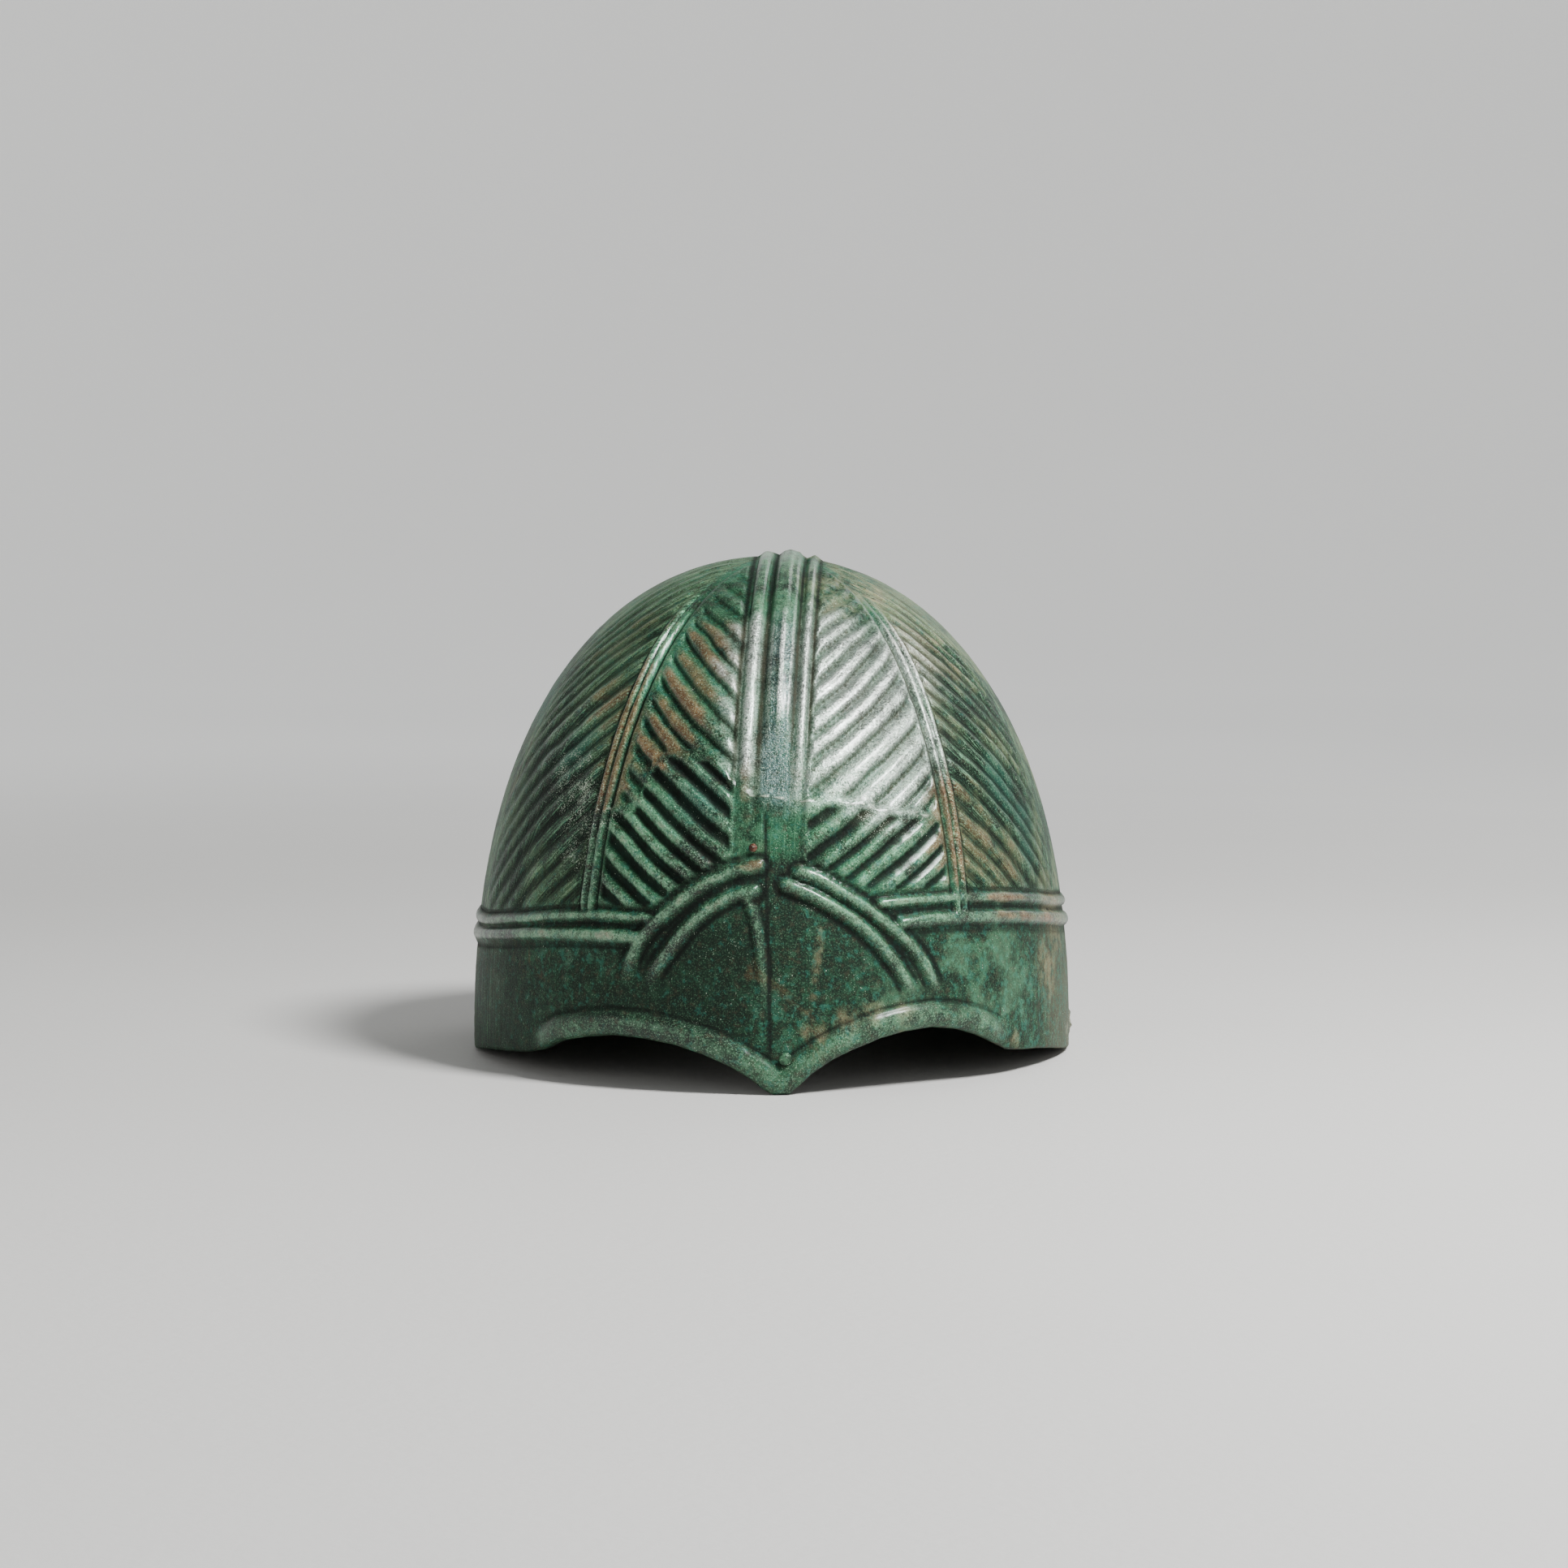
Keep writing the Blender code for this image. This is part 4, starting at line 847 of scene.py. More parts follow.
class Bench:
    # builds the nodes of one tree
    def __init__(self, tree):
        self.tree = tree
        tree.nodes.clear()

    def make(self, kind, settings=None, sockets=None):
        node = self.tree.nodes.new(kind)
        for name, value in (settings or {}).items():
            setattr(node, name, value)
        for key, value in (sockets or {}).items():
            socket = node.inputs[key] if isinstance(key, int) else self.open(node.inputs, key)
            if isinstance(value, Term):
                self.tree.links.new(value.socket, socket)
            else:
                socket.default_value = value
        return node

    def open(self, sockets, name):
        return next(s for s in sockets if s.name == name and s.enabled)

    def term(self, node, key=0):
        socket = node.outputs[key] if isinstance(key, int) else self.open(node.outputs, key)
        return Term(self.tree, socket)

    def smooth(self, value, low, high, toLow=0.0, toHigh=1.0):
        node = self.make("ShaderNodeMapRange", {"interpolation_type": "SMOOTHSTEP"},
                         {0: value, 1: low, 2: high, 3: toLow, 4: toHigh})
        return self.term(node)

    def noise(self, scale, detail=2.0, rough=0.5, vector=None, distortion=0.0):
        sockets = {"Scale": scale, "Detail": detail, "Roughness": rough, "Distortion": distortion}
        if vector is not None:
            sockets["Vector"] = vector
        return self.term(self.make("ShaderNodeTexNoise", None, sockets))

    def vector(self, x, y, z):
        return self.term(self.make("ShaderNodeCombineXYZ", None, {0: x, 1: y, 2: z}))

    def vectorMath(self, operation, *values):
        node = self.make("ShaderNodeVectorMath", {"operation": operation}, dict(enumerate(values)))
        return self.term(node, "Value" if operation in ("DISTANCE", "LENGTH") else "Vector")

    def scaled(self, vector, by):
        node = self.make("ShaderNodeVectorMath", {"operation": "SCALE"},
                         {"Vector": vector, "Scale": by})
        return self.term(node, "Vector")


# Grains of the relief: noise scale, detail and roughness
reliefGrains = {
    "wander": (55.0, 2.0),
    "drift": (140.0, 2.0),
    "patchy": (34.0, 3.0, 0.6),
    "bead": (95.0, 1.0),
    "crumbs": (420.0, 2.0),
}
# Unevenness of the whole skin: the same, then its share
roughGrains = (((26.0, 3.0, 0.6), 0.5), ((120.0, 3.0, 0.6), 0.32), ((480.0, 2.0), 0.18))
# The power that the round section of each form is raised to
sharpness = {"roll": 0.75, "seam": 0.6, "rim": 0.8, "crest": 0.7, "groove": 1.4, "lump": 0.5}
# Rolls and rim: metres for how far an edge wanders, where a groove lies and when a rise is full
rollShape = {
    "wander": 0.0005, "vary": 0.45, "fullRise": 0.0012,
    "grooveAt": 1.50, "grooveReach": 0.80, "grooveRise": 0.0014,
    "rimTop": 0.48, "rimHalf": 0.52, "rimFade": (42.5, 49.5),
    "rimGrooveAt": 0.0008, "rimGrooveHalf": 0.0014,
}


def castShellTree(paths):
    tree = bpy.data.node_groups.new("castShell", "GeometryNodeTree")
    bench = Bench(tree)
    sizes = {
        "Half width": bowl["halfWidth"], "Half length": bowl["halfLength"],
        "Height": bowl["height"], "Wall": bowl["wall"],
        "Width power": bowl["widthPower"], "Height power": bowl["heightPower"],
        "Centre X": bowl["centreX"], "Centre Y": bowl["centreY"],
        "Rib depth": castSkin["ribDepth"], "Crest rise": crest["rise"],
        "Seam depth": castSkin["seamDepth"], "Ledge rise": castSkin["ledgeRise"],
        "Ledge bead": castSkin["ledgeBead"], "Rim roll": castSkin["rimRoll"],
        "Side groove": castSkin["sideGroove"], "Rim roll rise": castSkin["rimRollRise"],
        "Sink depth": castSkin["sinkDepth"], "Unevenness": castSkin["unevenness"],
        "Lump rise": castSkin["lumpRise"], "Lump size": castSkin["lumpSize"],
    }
    kinds = {"Geometry": "Geometry"}
    kinds.update(dict.fromkeys(sizes, "Float"))
    kinds.update({"Lump place": "Vector", "Seed": "Int", "Skin": "Material"})
    kinds.update(dict.fromkeys(paths, "Object"))
    face = tree.interface
    sockets = {name: face.new_socket(name, in_out="INPUT", socket_type="NodeSocket" + kind)
               for name, kind in kinds.items()}
    face.new_socket("Geometry", in_out="OUTPUT", socket_type="NodeSocketGeometry")
    start = bench.make("NodeGroupInput")

    def entry(name):
        return Term(tree, start.outputs[name])

    def stored(name):
        node = bench.make("GeometryNodeInputNamedAttribute", {"data_type": "FLOAT"}, {"Name": name})
        return bench.term(node, "Attribute")

    def keep(geometry, name, value):
        node = bench.make("GeometryNodeStoreNamedAttribute", {"data_type": "FLOAT", "domain": "POINT"},
                          {"Geometry": geometry, "Name": name, "Value": value})
        return bench.term(node)

    def dome(share, kind):
        return (1.0 - (share * share).least(1.0)).most(0.0) ** sharpness[kind]

    # the plain bowl: a superellipse in plan and height, with its wall inset
    inset = stored("inset") * entry("Wall")
    turn, across, up = stored("turn"), stored("across"), stored("up")
    wide = entry("Half width") - inset
    long = entry("Half length") - inset
    x = wide * across * turn.math("SINE")
    y = -(long * across * turn.wave())
    z = (entry("Height") - inset) * up
    place = bench.vector(x + entry("Centre X"), y + entry("Centre Y"), z)
    widthPower, heightPower = entry("Width power"), entry("Height power")
    side = widthPower * across.most(1e-5) ** (widthPower - 2.0)
    steep = heightPower * up.most(0.0) ** (heightPower - 1.0) / entry("Height")
    normal = bench.vector(side * x / (wide * wide), side * y / (long * long), steep)
    normal = bench.vectorMath("NORMALIZE", normal)
    shaped = bench.make("GeometryNodeSetPosition", None,
                        {"Geometry": entry("Geometry"), "Position": place})

    wander = bench.noise(*reliefGrains["wander"]) - 0.5
    drift = bench.noise(*reliefGrains["drift"]) - 0.5

    def nearest(name):
        # a path and the distance to it
        path = bench.make("GeometryNodeObjectInfo", None, {"Object": entry(name)})
        path = bench.term(path, "Geometry")
        near = bench.make("GeometryNodeProximity", {"target_element": "EDGES"}, {0: path})
        return path, bench.term(near, "Distance")

    def roll(name, kind="roll"):
        # the path's own half width and rise at the nearest place make the section
        path, distance = nearest(name)
        index = bench.term(bench.make("GeometryNodeSampleNearest", {"domain": "POINT"}, {0: path}))
        half, rise = (bench.term(bench.make(
            "GeometryNodeSampleIndex", {"data_type": "FLOAT", "domain": "POINT"},
            {"Geometry": path, "Value": stored(key), "Index": index})) for key in ("half", "rise"))
        share = (distance + drift * rollShape["wander"]) / half
        profile = dome(share, kind)
        beside = (abs(abs(share) - rollShape["grooveAt"]) / rollShape["grooveReach"]).least(1.0)
        beside = (1.0 - beside) * (rise / rollShape["grooveRise"]).least(1.0)
        return profile, rise * profile * (1.0 + wander * rollShape["vary"]), beside

    rollHeight = rollTop = rollSide = None
    for name in ("Arches", "Bands", "Ridges", "Crest rolls", "Nasal roll"):
        profile, height, beside = roll(name)
        profile = profile * (height / rollShape["fullRise"]).least(1.0)
        rollHeight = height if rollHeight is None else rollHeight.most(height)
        rollTop = profile if rollTop is None else rollTop.most(profile)
        rollSide = beside if rollSide is None else rollSide.most(beside)
    seamProfile, seamRise, _ = roll("Seam", "seam")

    # the rolled brow edge, over the width of the rim roll
    rimDistance = nearest("Rim")[1]
    rimShare = rimDistance / entry("Rim roll") - rollShape["rimTop"] + wander * 0.05
    rimFade = bench.smooth(abs(turn) * (180.0 / math.pi), *rollShape["rimFade"], 1.0, 0.0)
    rimTop = dome(rimShare / rollShape["rimHalf"], "rim") * rimFade
    onRim = rimTop.math("GREATER_THAN", 0.02)
    rimSide = abs(rimDistance - entry("Rim roll") - rollShape["rimGrooveAt"])
    rimSide = (1.0 - rimSide / rollShape["rimGrooveHalf"]).most(0.0) * rimFade

    # slanted ribs, each a little different
    count = stored("ribCount") + wander * 0.30 + drift * 0.10
    phase = count.part()
    peak = 1.0 - abs(phase * 2.0 - 1.0)
    name = count.floor() + stored("ribPanel") * 40.0
    vary = bench.term(bench.make(
        "FunctionNodeRandomValue", {"data_type": "FLOAT"},
        {"Min": 0.74, "Max": 1.06, "ID": name, "Seed": entry("Seed")}), "Value")
    lower = phase.math("GREATER_THAN", 0.5)
    skew = stored("ribSkew")
    foot = (stored("ribFoot") + (lower * 1.5 - 1.0) * skew).most(0.0)
    shoulder = (stored("ribShoulder") + (0.5 - lower) * skew * 3.0).least(1.0)
    ribWave = bench.smooth(peak, foot, shoulder)
    ribRoom = bench.smooth(stored("ribRoom") + drift * 0.0014, -0.0002, 0.0016)
    below = bench.smooth(stored("breakSide") + drift * 0.004, -0.0022, -0.0006, 1.0, 0.0)
    above = bench.smooth(stored("breakSide") + drift * 0.004, 0.0004, 0.0024)
    ribOpen = ribRoom * (below + above).least(1.0)
    ribEdge = stored("ribEdge")
    onSide = 1.0 - skew / ribs["skew"]
    patchy = bench.smooth(bench.noise(*reliefGrains["patchy"]), 0.42, 0.60, 0.55, 0.0)
    ribWave = ribWave * (1.0 - onSide * patchy)
    ribTop = (ribEdge + (ribWave * vary - ribEdge) * ribOpen) * stored("fieldShare")
    # painted shade: above the break on the brow panels, the groove darkening is weaker on each rib's
    # upper side and stronger on its lower side
    grooveSideShade = 1.0 - above * skew.least(0.1) * (7.0 - lower * 4.0)

    # the crest between its two rolls, with strokes along it
    crestAcross = stored("crestAcross")
    crestTop = dome(crestAcross, "crest") * stored("crestGain")
    crestStroke = ((crestAcross + wander * 0.16) * crest["waves"]).wave() * 0.5 - 0.5

    # the step across the brow: proud below it, with a thin broken bead
    over = stored("breakSide") + drift * 0.0036 + wander * 0.003
    proud = bench.smooth(over, -0.0008, 0.0006, 1.0, 0.0) * bench.smooth(over, -0.020, -0.002)
    proud = proud * stored("breakGain")
    bead = bench.smooth(bench.noise(*reliefGrains["bead"]), 0.40, 0.56)
    bead = (1.0 - abs(over + 0.0006) / 0.0010).most(0.0) * bead

    outer = stored("outer")
    ribShare = stored("ribRise").least(1.0)
    geometry = bench.term(shaped)
    for key, value in (
        ("ribTop", ribTop * ribShare * outer),
        # painted shade mask for the rib grooves, heavier on each rib's lower side
        ("ribHollow", (1.0 - ribWave) ** sharpness["groove"] * ribOpen * ribShare * outer * grooveSideShade),
        ("rollTop", rollTop * outer),
        ("rollSide", rollSide.most(rimSide * 0.8) * (1.0 - rollTop) * outer),
        ("crestTop", crestTop * outer),
        ("rimTop", rimTop * outer),
        ("seamDepth", seamProfile * seamRise.least(1.0) * outer),
        ("ledge", bead * stored("breakGain") * outer),
        ("strokeAcross", stored("strokeAcross") * (1.0 - onRim) + rimDistance * onRim),
        ("strokeGain", (stored("strokeGain") * (1.0 - onRim) + onRim * strokes["rimGain"]) * outer),
    ):
        geometry = keep(geometry, key, value)

    ribHeight = stored("ribTop") * stored("ribRise").most(1.0) * entry("Rib depth")
    crestHeight = crestTop * entry("Crest rise") + crestStroke * crestTop * 0.0003
    rimHeight = stored("rimTop") * entry("Rim roll rise")
    relief = rollHeight.most(ribHeight).most(crestHeight).most(rimHeight)
    sunkIn = {"rollSide": "Side groove", "seamDepth": "Seam depth", "sunk": "Sink depth"}
    for key, depth in sunkIn.items():
        relief = relief - stored(key) * entry(depth)
    relief = relief + (proud * entry("Ledge rise") + stored("ledge") * entry("Ledge bead"))

    # crumbs of corrosion beside the left end of the rim
    away = bench.term(bench.make("GeometryNodeInputPosition"))
    away = bench.vectorMath("DISTANCE", away, entry("Lump place"))
    crumbs = bench.smooth(bench.noise(*reliefGrains["crumbs"]), 0.35, 0.6)
    lump = (1.0 - away / entry("Lump size")).most(0.0) ** sharpness["lump"] * crumbs
    relief = relief.most(lump * entry("Lump rise"))

    first, second, third = (bench.noise(*grain) * share for grain, share in roughGrains)
    rough = bench.smooth(first + second + third, 0.25, 0.75, 1.0, 0.0)
    relief = relief * outer - rough * entry("Unevenness")
    offset = bench.scaled(normal, relief)
    moved = bench.make("GeometryNodeSetPosition", None, {"Geometry": geometry, "Offset": offset})
    solid = bench.make("GeometryNodeRealizeInstances", None, {"Geometry": bench.term(moved)})
    done = bench.make("GeometryNodeSetMaterial", None,
                      {"Geometry": bench.term(solid), "Material": entry("Skin")})
    bench.make("NodeGroupOutput", None, {0: bench.term(done)})
    return tree, sockets, sizes


def plainMesh(made, keepAttributes):
    # the evaluated result as a mesh of its own, without the modifier
    graph = bpy.context.evaluated_depsgraph_get()
    mesh = bpy.data.meshes.new_from_object(
        made.evaluated_get(graph), preserve_all_data_layers=True, depsgraph=graph)
    made.modifiers.clear()
    old = made.data
    made.data = mesh
    bpy.data.meshes.remove(old)
    for name in [a.name for a in mesh.attributes if a.data_type == "FLOAT"]:
        found = mesh.attributes[name]
        if not (found.is_internal or found.is_required or name in keepAttributes):
            mesh.attributes.remove(found)
    return made


def tone(code):
    # a colour from its usual six figures to linear light
    parts = [int(code[i:i + 2], 16) / 255.0 for i in (0, 2, 4)]
    return tuple(p / 12.92 if p < 0.04045 else ((p + 0.055) / 1.055) ** 2.4 for p in parts) + (1.0,)


# Colours of the patina, from pitch, used for painted shade in the darkest hollows, to crumbs, and bare
# metal up to the white of its painted highlight
patina = {
    "pitch": "060a07",
    "deep": "0c1d13",
    "bottle": "163624",
    "green": "27573b",
    "leaf": "407852",
    "mint": "7db48b",
    "teal": "226153",
    "olive": "6f7755",
    "brown": "64452d",
    "rust": "8e6641",
    "beige": "9d8e6c",
    "steel": "617276",
    "metalAndSheen": "b9c4bb",
    "highlightWhite": "eef3ee",
    "pale": "d2dfca",
    "umber": "3b3829",
    "inside": "22241a",
}


class Skin(Bench):
    # a node material on object coordinates
    def __init__(self, name):
        self.material = bpy.data.materials.new(name)
        self.material.use_nodes = True
        super().__init__(self.material.node_tree)
        self.output = self.make("ShaderNodeOutputMaterial")
        self.shader = self.make("ShaderNodeBsdfPrincipled")
        self.tree.links.new(self.shader.outputs[0], self.output.inputs[0])
        self.place = self.term(self.make("ShaderNodeTexCoord"), "Object")

    def grain(self, scale, detail=2.0, rough=0.5, vector=None, distortion=0.0):
        return self.noise(scale, detail, rough, vector or self.place, distortion)

    def named(self, name):
        return self.term(self.make("ShaderNodeAttribute", {"attribute_name": name}), "Fac")

    def mix(self, factor, first, second):
        settings = {"data_type": "RGBA", "blend_type": "MIX", "clamp_factor": True}
        return self.term(self.make("ShaderNodeMix", settings, {0: factor, 6: first, 7: second}), 2)

    def ramp(self, value, stops):
        node = self.make("ShaderNodeValToRGB", None, {0: value})
        elements = node.color_ramp.elements
        while len(elements) < len(stops):
            elements.new(0.5)
        for element, (position, colour) in zip(elements, stops):
            element.position = position
            element.color = colour
        return self.term(node)

    def finish(self, colour, metallic, roughness, height, reach):
        bump = self.make("ShaderNodeBump", None,
                         {"Strength": 1.0, "Distance": reach, "Height": height})
        values = {"Base Color": colour, "Metallic": metallic, "Roughness": roughness,
                  "Normal": self.term(bump)}
        for key, value in values.items():
            if isinstance(value, Term):
                self.tree.links.new(value.socket, self.shader.inputs[key])
            else:
                self.shader.inputs[key].default_value = value
        return self.material


# Grains of the patina: noise scale, detail and roughness
patinaGrains = {
    "broad": (15.0, 3.0, 0.55),
    "middle": (58.0, 4.0, 0.62),
    "small": (230.0, 3.0, 0.6),
    "fleck": (430.0, 3.0, 0.65),
    "sand": (1500.0, 2.0, 0.7),
    "dust": (2700.0, 1.0, 0.6),
    "stray": (30.0, 5.0, 0.68, None, 0.8),
}
# Strokes: noise scale across and along, and a shift; bump and coat of the bronze
strokeScales = {"stroke": (700.0, 24.0, 0.0), "fineStroke": (1800.0, 38.0, 3.0)}
bronzeLook = {"bump": 0.00034, "reflection": 0.20, "coatRoughness": 0.20}
rivets = {"bump": 0.0003, "metallic": 0.45}


def bronzeSkin():
    skin = Skin("patinatedBronze")
    tones = {key: tone(code) for key, code in patina.items()}
    grains = {key: skin.grain(*setting) for key, setting in patinaGrains.items()}
    broad, middle, small, fleck, sand, dust, stray = grains.values()

    def spread(value, **weights):
        # a value made uneven by other grains, each around its middle
        for key, weight in weights.items():
            value = value + (grains[key] - 0.5) * weight
        return value

    ribTop, ribHollow = skin.named("ribTop"), skin.named("ribHollow")
    rollTop, rollSide = skin.named("rollTop"), skin.named("rollSide")
    crestTop, rimTop = skin.named("crestTop"), skin.named("rimTop")
    seam, outer, sunk = skin.named("seamDepth"), skin.named("outer"), skin.named("sunk")
    dry, strokeGain, wall = skin.named("dry"), skin.named("strokeGain"), skin.named("plainWall")
    ledge = skin.smooth(skin.named("ledge"), 0.45, 0.80)
    warp = spread((middle - 0.5) * 1.3, small=0.8, sand=0.25)

    # strokes that follow the ribs, the crest, the rim and the plain wall
    for key, (across, along, shift) in strokeScales.items():
        place = skin.vector(
            skin.named("strokeAcross") * across, skin.named("strokeAlong") * along, shift)
        detail = (2.0, 0.65) if key == "stroke" else (1.0, 0.5)
        grains[key] = skin.grain(1.0, *detail, place)
    stroke, fineStroke = grains["stroke"], grains["fineStroke"]
    broken = skin.smooth(spread(small * 0.6 + fleck * 0.6, sand=0.4), 0.50, 0.68, 0.25, 1.0)
    hair = skin.smooth(spread(fineStroke, stroke=0.8), 0.57, 0.66) * strokeGain * broken
    gash = skin.smooth(spread(stroke, fineStroke=0.4, sand=0.2), 0.46, 0.36) * strokeGain

    raised = ribTop.most(rollTop).most(crestTop * 0.9).most(rimTop * 0.70)
    # rib grooves, channels beside the rolls and, a little, the sunk fields: where shade is painted
    # below
    hollow = ribHollow.most(rollSide).most(sunk * 0.35)

    # mottled green ground, with a mottled painted shade on the plain wall and the sunk fields; lighter
    # where it stands up, partly wear and partly a painted highlight; on the dry sides olive
    ground = spread(broad, middle=0.75, small=0.60, sand=0.25)
    tealShare = skin.smooth(spread(middle, broad=0.6), 0.54, 0.72) * 0.35
    # painted shade, mottled, for the plain wall and the sunk fields
    mottledLowShade = skin.smooth(spread(small, fleck=0.9, sand=0.5), 0.36, 0.70, 0.94, 0.54)
    # partly wear, partly a painted highlight: raised parts go lighter, towards mint on the highest
    worn = raised * skin.smooth(spread(ground, sand=0.3), 0.26, 0.76)
    litShare = skin.smooth(spread(raised, small=0.9, sand=0.5), 0.58, 1.08)
    dusty = dry * skin.smooth(spread(broad, middle=0.8, small=0.4), 0.36, 0.62)

    # patches: umber on the wall, flecks, mint, teal, beige dust, a beige painted warm highlight along
    # the right rim roll, and brown earth
    earthy = skin.smooth(spread(broad, middle=0.8), 0.34, 0.60)
    earthy = wall * skin.smooth(strokeGain, 0.06, 0.40) * earthy
    tealFleck = skin.smooth(spread(fleck, broad=0.3), 0.54, 0.68)
    umberFleck = skin.smooth(fleck, 0.45, 0.32)
    mintPatch, tealPatch = (
        skin.smooth(skin.named(key) + warp, 0.30, 0.90) for key in ("mintPatch", "tealPatch"))
    dusted = small + (stroke - 0.5) * strokeGain
    dusted = skin.smooth(spread(dusted, sand=0.3), 0.34, 0.66)
    # beige dust, and a painted warm highlight on the right rim roll
    beige = skin.smooth(skin.named("beigeDustAndGlintPatch") + warp * 0.45, 0.12, 0.95)
    earth = skin.mix(skin.smooth(spread(small, sand=0.4), 0.46, 0.72), tones["brown"], tones["rust"])
    brown = skin.named("brownPatch") + warp * 0.8 + (raised - 0.6) * 0.55
    brown = skin.smooth(brown, 0.26, 0.72) * (0.10 + raised * 0.90)
    stray = skin.smooth(spread(stray, sand=0.08), 0.60, 0.72)

    colour = skin.ramp(ground, (
        (0.28, tones["deep"]), (0.44, tones["bottle"]), (0.62, tones["green"]), (0.84, tones["leaf"])))
    for share, layer in (
        (tealShare, tones["teal"]),
        # painted shade on the plain wall and the sunk fields
        (wall.most(sunk) * mottledLowShade, tones["deep"]),
        # wear and painted highlight on raised parts
        (worn * 0.64, skin.mix(litShare, tones["leaf"], tones["mint"])),
        (dusty * 0.68, tones["olive"]),
        (hair * 0.80, skin.mix(dusty, tones["mint"], tones["beige"])),
        (gash * 0.88, tones["deep"]),
        (earthy * 0.72, tones["umber"]),
        (tealFleck * 0.55, tones["teal"]),
        (umberFleck * 0.55, tones["umber"]),
        (mintPatch * 0.16, tones["mint"]),
        (tealPatch * 0.55, tones["teal"]),
        (beige * dusted * 0.42, tones["beige"]),
        (brown.most(stray * 0.4) * 0.85, earth),
    ):
        colour = skin.mix(share, colour, layer)

    # worn metal whose pale colour is also a painted sheen, paler still on raised parts as a painted
    # highlight; bluish steel on the crest, with two painted highlight lines along it
    metalAndSheen = skin.smooth(spread(skin.named("wornMetalAndSheenPatch"), middle=0.8, small=0.4), 0.05, 0.80)
    across = skin.named("crestAcross")
    # two painted highlight lines along the crest
    lines = (across * crest["waves"]).wave() + (small - 0.5)
    lines = skin.smooth(lines, -0.2, 0.9) * crestTop
    crestShade = skin.smooth(abs(across), 1.1, 0.9) * (1.0 - lines)
    bareAndHighlight = metalAndSheen * (0.30 + raised.most(crestShade) * 0.70) * (1.0 - hollow * 0.6)
    bareAndHighlight = bareAndHighlight * skin.smooth(spread(sand, small=0.5, fleck=0.6), 0.26, 0.62, 0.25, 1.0)
    metalHighlight = skin.smooth(spread(raised + lines * 0.3, sand=0.9), 0.70, 1.15)
    metalHighlight = skin.mix(metalHighlight, tones["metalAndSheen"], tones["highlightWhite"])

    # painted shade in the grooves, the channels beside the rolls and the sunk fields; fine grain,
    # partly painted sparkle; crumbs; a painted highlight on the ledge bead
    depth = skin.smooth(spread(hollow, small=0.3), 0.05, 0.95)
    pits = skin.smooth(spread(small, sand=0.5), 0.64, 0.80)
    pepper = skin.smooth(spread(sand, dust=0.6), 0.42, 0.20)
    crumbs = skin.smooth(spread(skin.named("palePatch"), dust=4.5, small=2.5), 1.1, 1.5)
    saltAndSparkle = skin.smooth(spread(dust, sand=0.5), 0.52, 0.76)
    # more specks on raised parts, worn metal and stroked sides: grain and painted sparkle
    saltAndSparkle = saltAndSparkle * (0.20 + raised * 0.20 + metalAndSheen * 0.2 + strokeGain * 0.25) * (1.0 - depth)
    for share, layer in (
        # painted sheen and painted highlight of worn metal, steel on the crest
        (bareAndHighlight * (0.92 - crestShade * 0.25), skin.mix(crestShade, metalHighlight, tones["steel"])),
        # painted shade in the hollows, near black, umber-tinted on worn metal
        (depth * 0.88, skin.mix(metalAndSheen * 0.7, tones["pitch"], tones["umber"])),
        (pits.most(pepper) * 0.62, tones["deep"]),
        (saltAndSparkle, skin.mix(metalAndSheen.most(raised * 0.4), tones["mint"], tones["pale"])),
        (crumbs * 0.6, tones["pale"]),
        # painted highlight along the ledge bead
        (ledge * 0.40, tones["pale"]),
        (seam * 0.95, tones["pitch"]),
    ):
        colour = skin.mix(share, colour, layer)
    inside = skin.mix(skin.smooth(middle, 0.4, 0.65), tones["inside"], tones["bottle"])
    inside = skin.mix(skin.smooth(small + (broad - 0.5), 0.55, 0.75) * 0.5, inside, tones["brown"])
    colour = skin.mix(outer, inside, colour)

    metallic = 0.34 + bareAndHighlight * 0.36 + raised * 0.16 - wall * 0.12 - pits * 0.2 - crumbs * 0.2
    metallic = metallic * (0.4 + outer * 0.6)
    roughness = 0.50 + wall * 0.10 - raised * 0.13 - bareAndHighlight * 0.06 + pits * 0.16 + depth * 0.16
    roughness = spread(roughness, sand=0.24) + (1.0 - outer) * 0.12
    coat = (0.04 + raised * 0.68 * (1.0 - dry * 0.7)) * (1.0 - depth) * outer
    skin.tree.links.new(coat.socket, skin.shader.inputs["Coat Weight"])
    skin.shader.inputs["Coat Roughness"].default_value = bronzeLook["coatRoughness"]
    skin.shader.inputs["Specular IOR Level"].default_value = bronzeLook["reflection"]

    height = (sand - 0.5) * (0.75 + bareAndHighlight * 0.5) + (small - 0.5) * 0.8 - pits * 0.4 + crumbs * 0.9
    height = height + strokeGain * ((stroke - 0.5) * 2.0 + (fineStroke - 0.5) * 0.9) + ledge * 0.6
    return skin.finish(colour, metallic, roughness, height, bronzeLook["bump"])


def rivetSkin(name, base, worn):
    skin = Skin(name)
    middle = skin.grain(420.0, 3.0, 0.6)
    sand = skin.grain(1800.0, 2.0, 0.6)
    colour = skin.mix(skin.smooth(middle, 0.35, 0.65), tone(base), tone(worn))
    colour = skin.mix(skin.smooth(sand, 0.60, 0.72) * 0.5, colour, tone(patina["pale"]))
    roughness = 0.42 + (sand - 0.5) * 0.3
    height = (sand - 0.5) + (middle - 0.5) * 0.8
    return skin.finish(colour, rivets["metallic"], roughness, height, rivets["bump"])


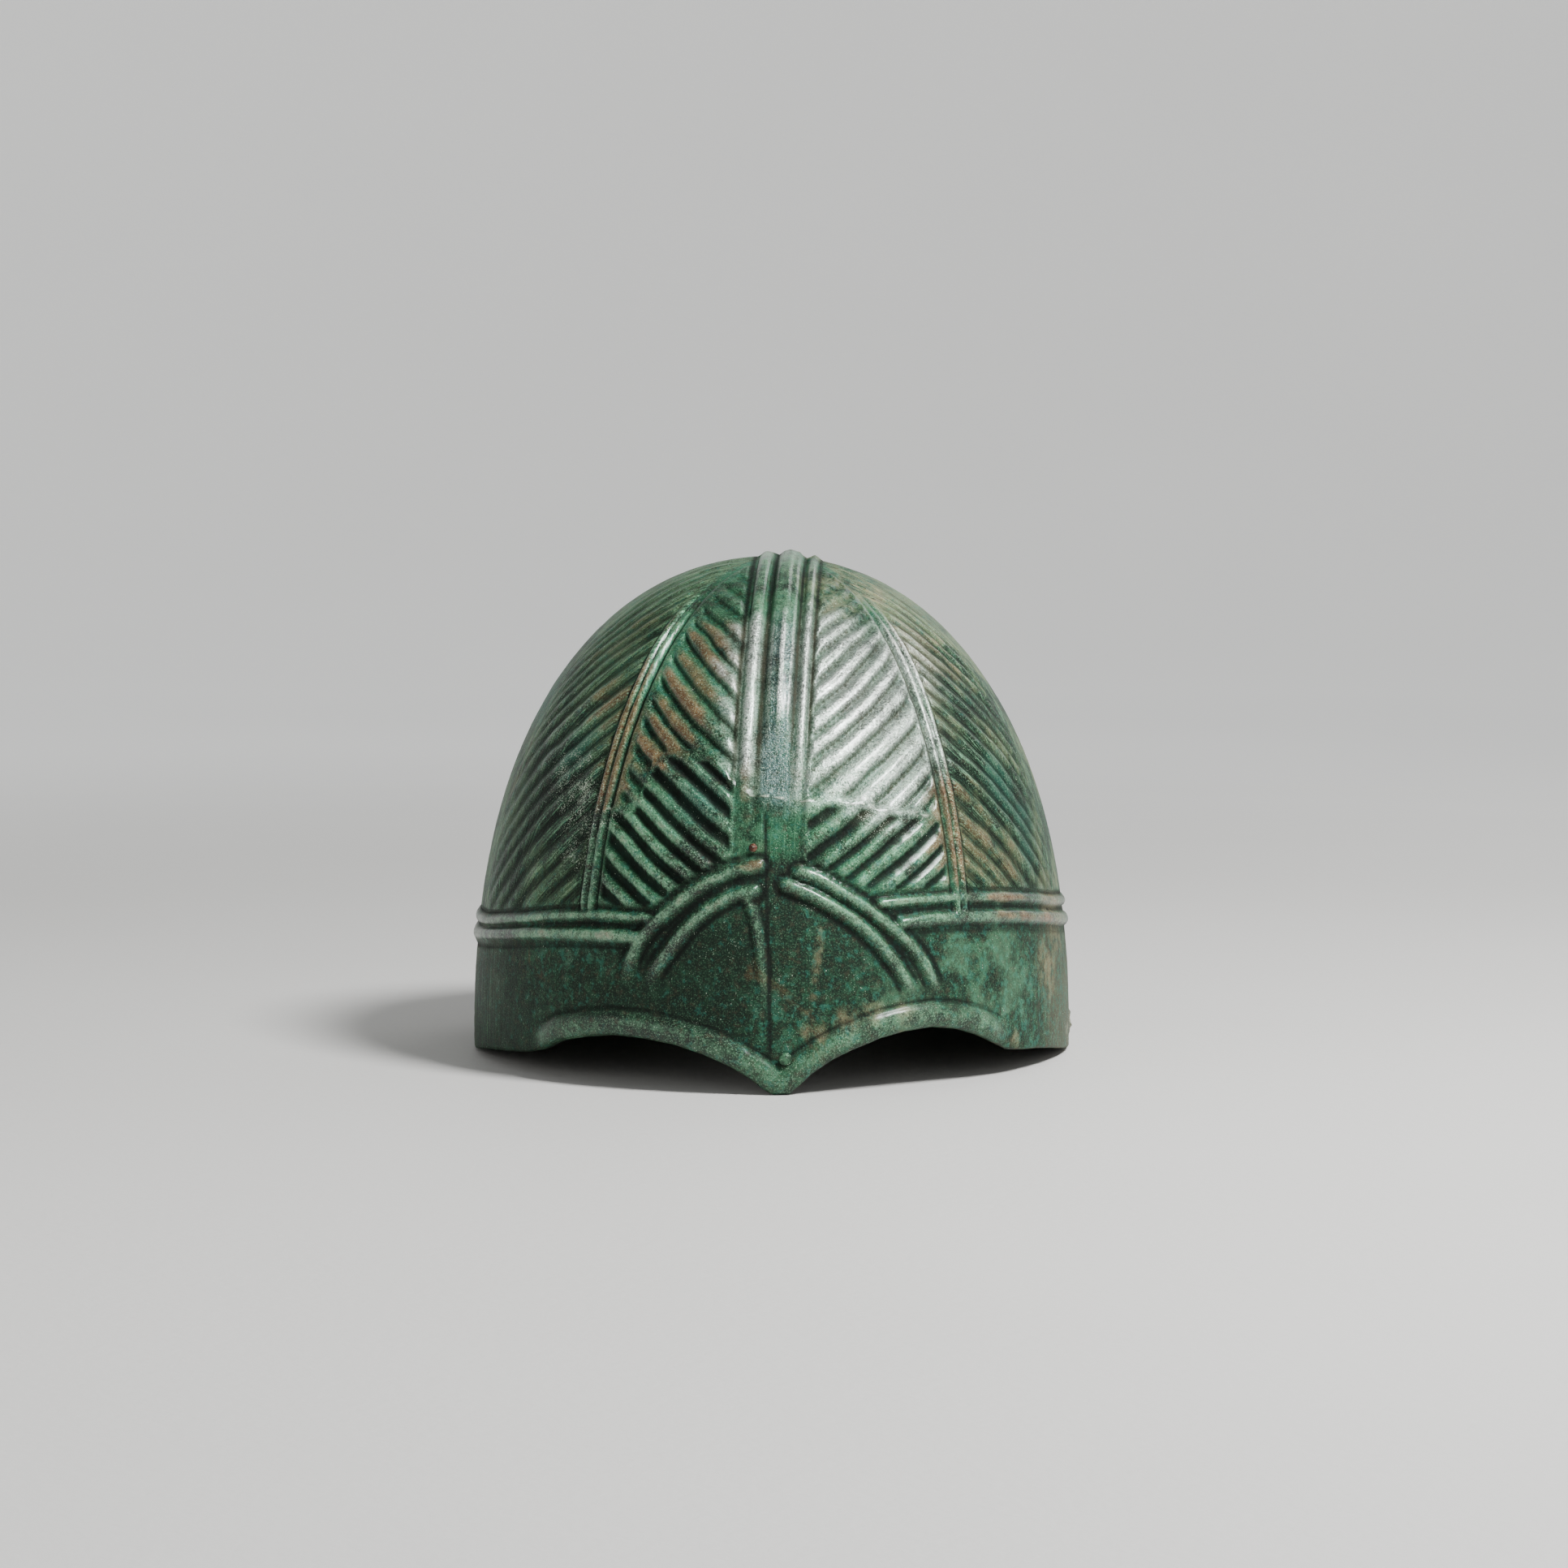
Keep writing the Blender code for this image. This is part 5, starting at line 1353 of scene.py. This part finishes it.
def floorSkin():
    skin = Skin("paleFloor")
    middle = skin.grain(3.0, 3.0, 0.5)
    colour = skin.mix(middle, tone("cfcecb"), tone("d8d7d4"))
    away = skin.vectorMath("LENGTH", skin.place)
    glow = skin.mix(skin.smooth(away, 0.3, 1.9), tone("000000"), tone(studio["farTone"]))
    skin.tree.links.new(glow.socket, skin.shader.inputs["Emission Color"])
    skin.shader.inputs["Emission Strength"].default_value = 1.0
    return skin.finish(colour, 0.0, 0.62, skin.grain(260.0, 2.0, 0.6), 0.0002)


# Attributes that the bronze reads; the others are only for building the shape
shaderAttributes = {
    "ribTop", "ribHollow", "rollTop", "rollSide", "crestTop", "rimTop", "seamDepth", "outer",
    "sunk", "dry", "plainWall", "strokeAcross", "strokeAlong", "strokeGain", "crestAcross", "ledge",
} | set(patches)


def makeShell(skin):
    paths = rollPaths()
    shell = makeBlank()
    tree, sockets, sizes = castShellTree(paths)
    worker = shell.modifiers.new("castShell", "NODES")
    worker.node_group = tree
    lump = bowlPoint(chartPoint(castSkin["lumpDegrees"], castSkin["lumpShare"]))[0]
    given = {"Lump place": [float(v) for v in lump], "Seed": castSkin["seed"], "Skin": skin}
    for name, value in (sizes | given | paths).items():
        worker[sockets[name].identifier] = value
    shell = plainMesh(shell, shaderAttributes)
    for path in paths.values():
        bpy.data.objects.remove(path, do_unlink=True)
    return shell


# The floor sheet in metres: flat, then curved up far away, so that no edge shows from any side
floorSheet = {"middle": 1.0, "flat": 3.0, "curve": 1.2, "curveRows": 12, "top": 2.6, "columns": 96}


def makeFloor(skin):
    flat, curve, columns = (floorSheet[key] for key in ("flat", "curve", "columns"))
    profile = [(floorSheet["middle"], 0.0), (flat, 0.0)]
    for t in np.linspace(0.0, 0.5 * math.pi, floorSheet["curveRows"] + 1)[1:]:
        profile.append((flat + curve * math.sin(t), curve - curve * math.cos(t)))
    profile.append((flat + curve, floorSheet["top"]))
    around = np.linspace(0.0, 2.0 * math.pi, columns, endpoint=False)
    verts = [(r * math.cos(t), r * math.sin(t), z) for r, z in profile for t in around]
    verts.append((0.0, 0.0, 0.0))
    faces = []
    for j in range(columns):
        k = (j + 1) % columns
        faces.append((len(verts) - 1, j, k))
        for i in range(len(profile) - 1):
            a, b = columns * i, columns * (i + 1)
            faces.append((a + j, b + j, b + k, a + k))
    mesh = bpy.data.meshes.new("floor")
    mesh.from_pydata(verts, [], faces)
    mesh.polygons.foreach_set("use_smooth", [True] * len(mesh.polygons))
    mesh.materials.append(skin)
    floor = bpy.data.objects.new("floor", mesh)
    bpy.context.scene.collection.objects.link(floor)
    return floor


# Camera and lights: places and targets in metres, power in watts
studio = {
    "camera": {
        "place": (0.0033, -1.14895, 0.1616), "aim": (0.0033, 0.00105, 0.0853),
        "lens": 80.8, "sensor": 36.0, "near": 0.05,
    },
    "lights": (
        {"name": "keyLight", "place": (0.60, -0.46, 1.00), "aim": (0.0, 0.0, 0.09),
         "size": 0.30, "power": 28.0},
        {"name": "fillLight", "place": (-1.3, -1.1, 0.7), "aim": (0.0, 0.0, 0.08),
         "size": 1.2, "power": 1.4},
        {"name": "backLight", "place": (0.7, 1.0, 0.9), "aim": (0.0, 0.0, 0.1),
         "size": 0.8, "power": 3.5},
    ),
    "world": ("dcdee0", 0.29),
    "farTone": "afb0b0",
}


def aimed(made, place, aim):
    made.location = place
    made.rotation_euler = (Vector(aim) - Vector(place)).to_track_quat("-Z", "Y").to_euler()
    bpy.context.scene.collection.objects.link(made)
    return made


def makeStudio():
    for light in studio["lights"]:
        data = bpy.data.lights.new(light["name"], "AREA")
        data.energy = light["power"]
        data.shape = "DISK"
        data.size = light["size"]
        aimed(bpy.data.objects.new(light["name"], data), light["place"], light["aim"])
    world = bpy.data.worlds.new("softRoom")
    world.use_nodes = True
    background = world.node_tree.nodes["Background"]
    background.inputs[0].default_value = tone(studio["world"][0])
    background.inputs[1].default_value = studio["world"][1]
    bpy.context.scene.world = world
    view = studio["camera"]
    data = bpy.data.cameras.new("photoCamera")
    data.lens = view["lens"]
    data.sensor_width = view["sensor"]
    data.clip_start = view["near"]
    camera = bpy.data.objects.new("photoCamera", data)
    bpy.context.scene.camera = aimed(camera, view["place"], view["aim"])


print("stage 1: skins")
bronze = bronzeSkin()
tipSkin = rivetSkin("tipRivetBronze", "182d20", "3f6a4c")
pinSkin = rivetSkin("crestPinCopper", "331a10", "6e4029")

print("stage 2: cast shell")
shell = makeShell(bronze)
print("shell triangles", sum(len(p.vertices) - 2 for p in shell.data.polygons))
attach(shell, "root")
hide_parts("cast_shell")

print("stage 3: rivets")
for node, skin in (("tip_rivet", tipSkin), ("crest_pin", pinSkin)):
    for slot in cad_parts[node].material_slots:
        slot.material = skin

print("stage 4: floor, lights and camera")
makeFloor(floorSkin())
makeStudio()
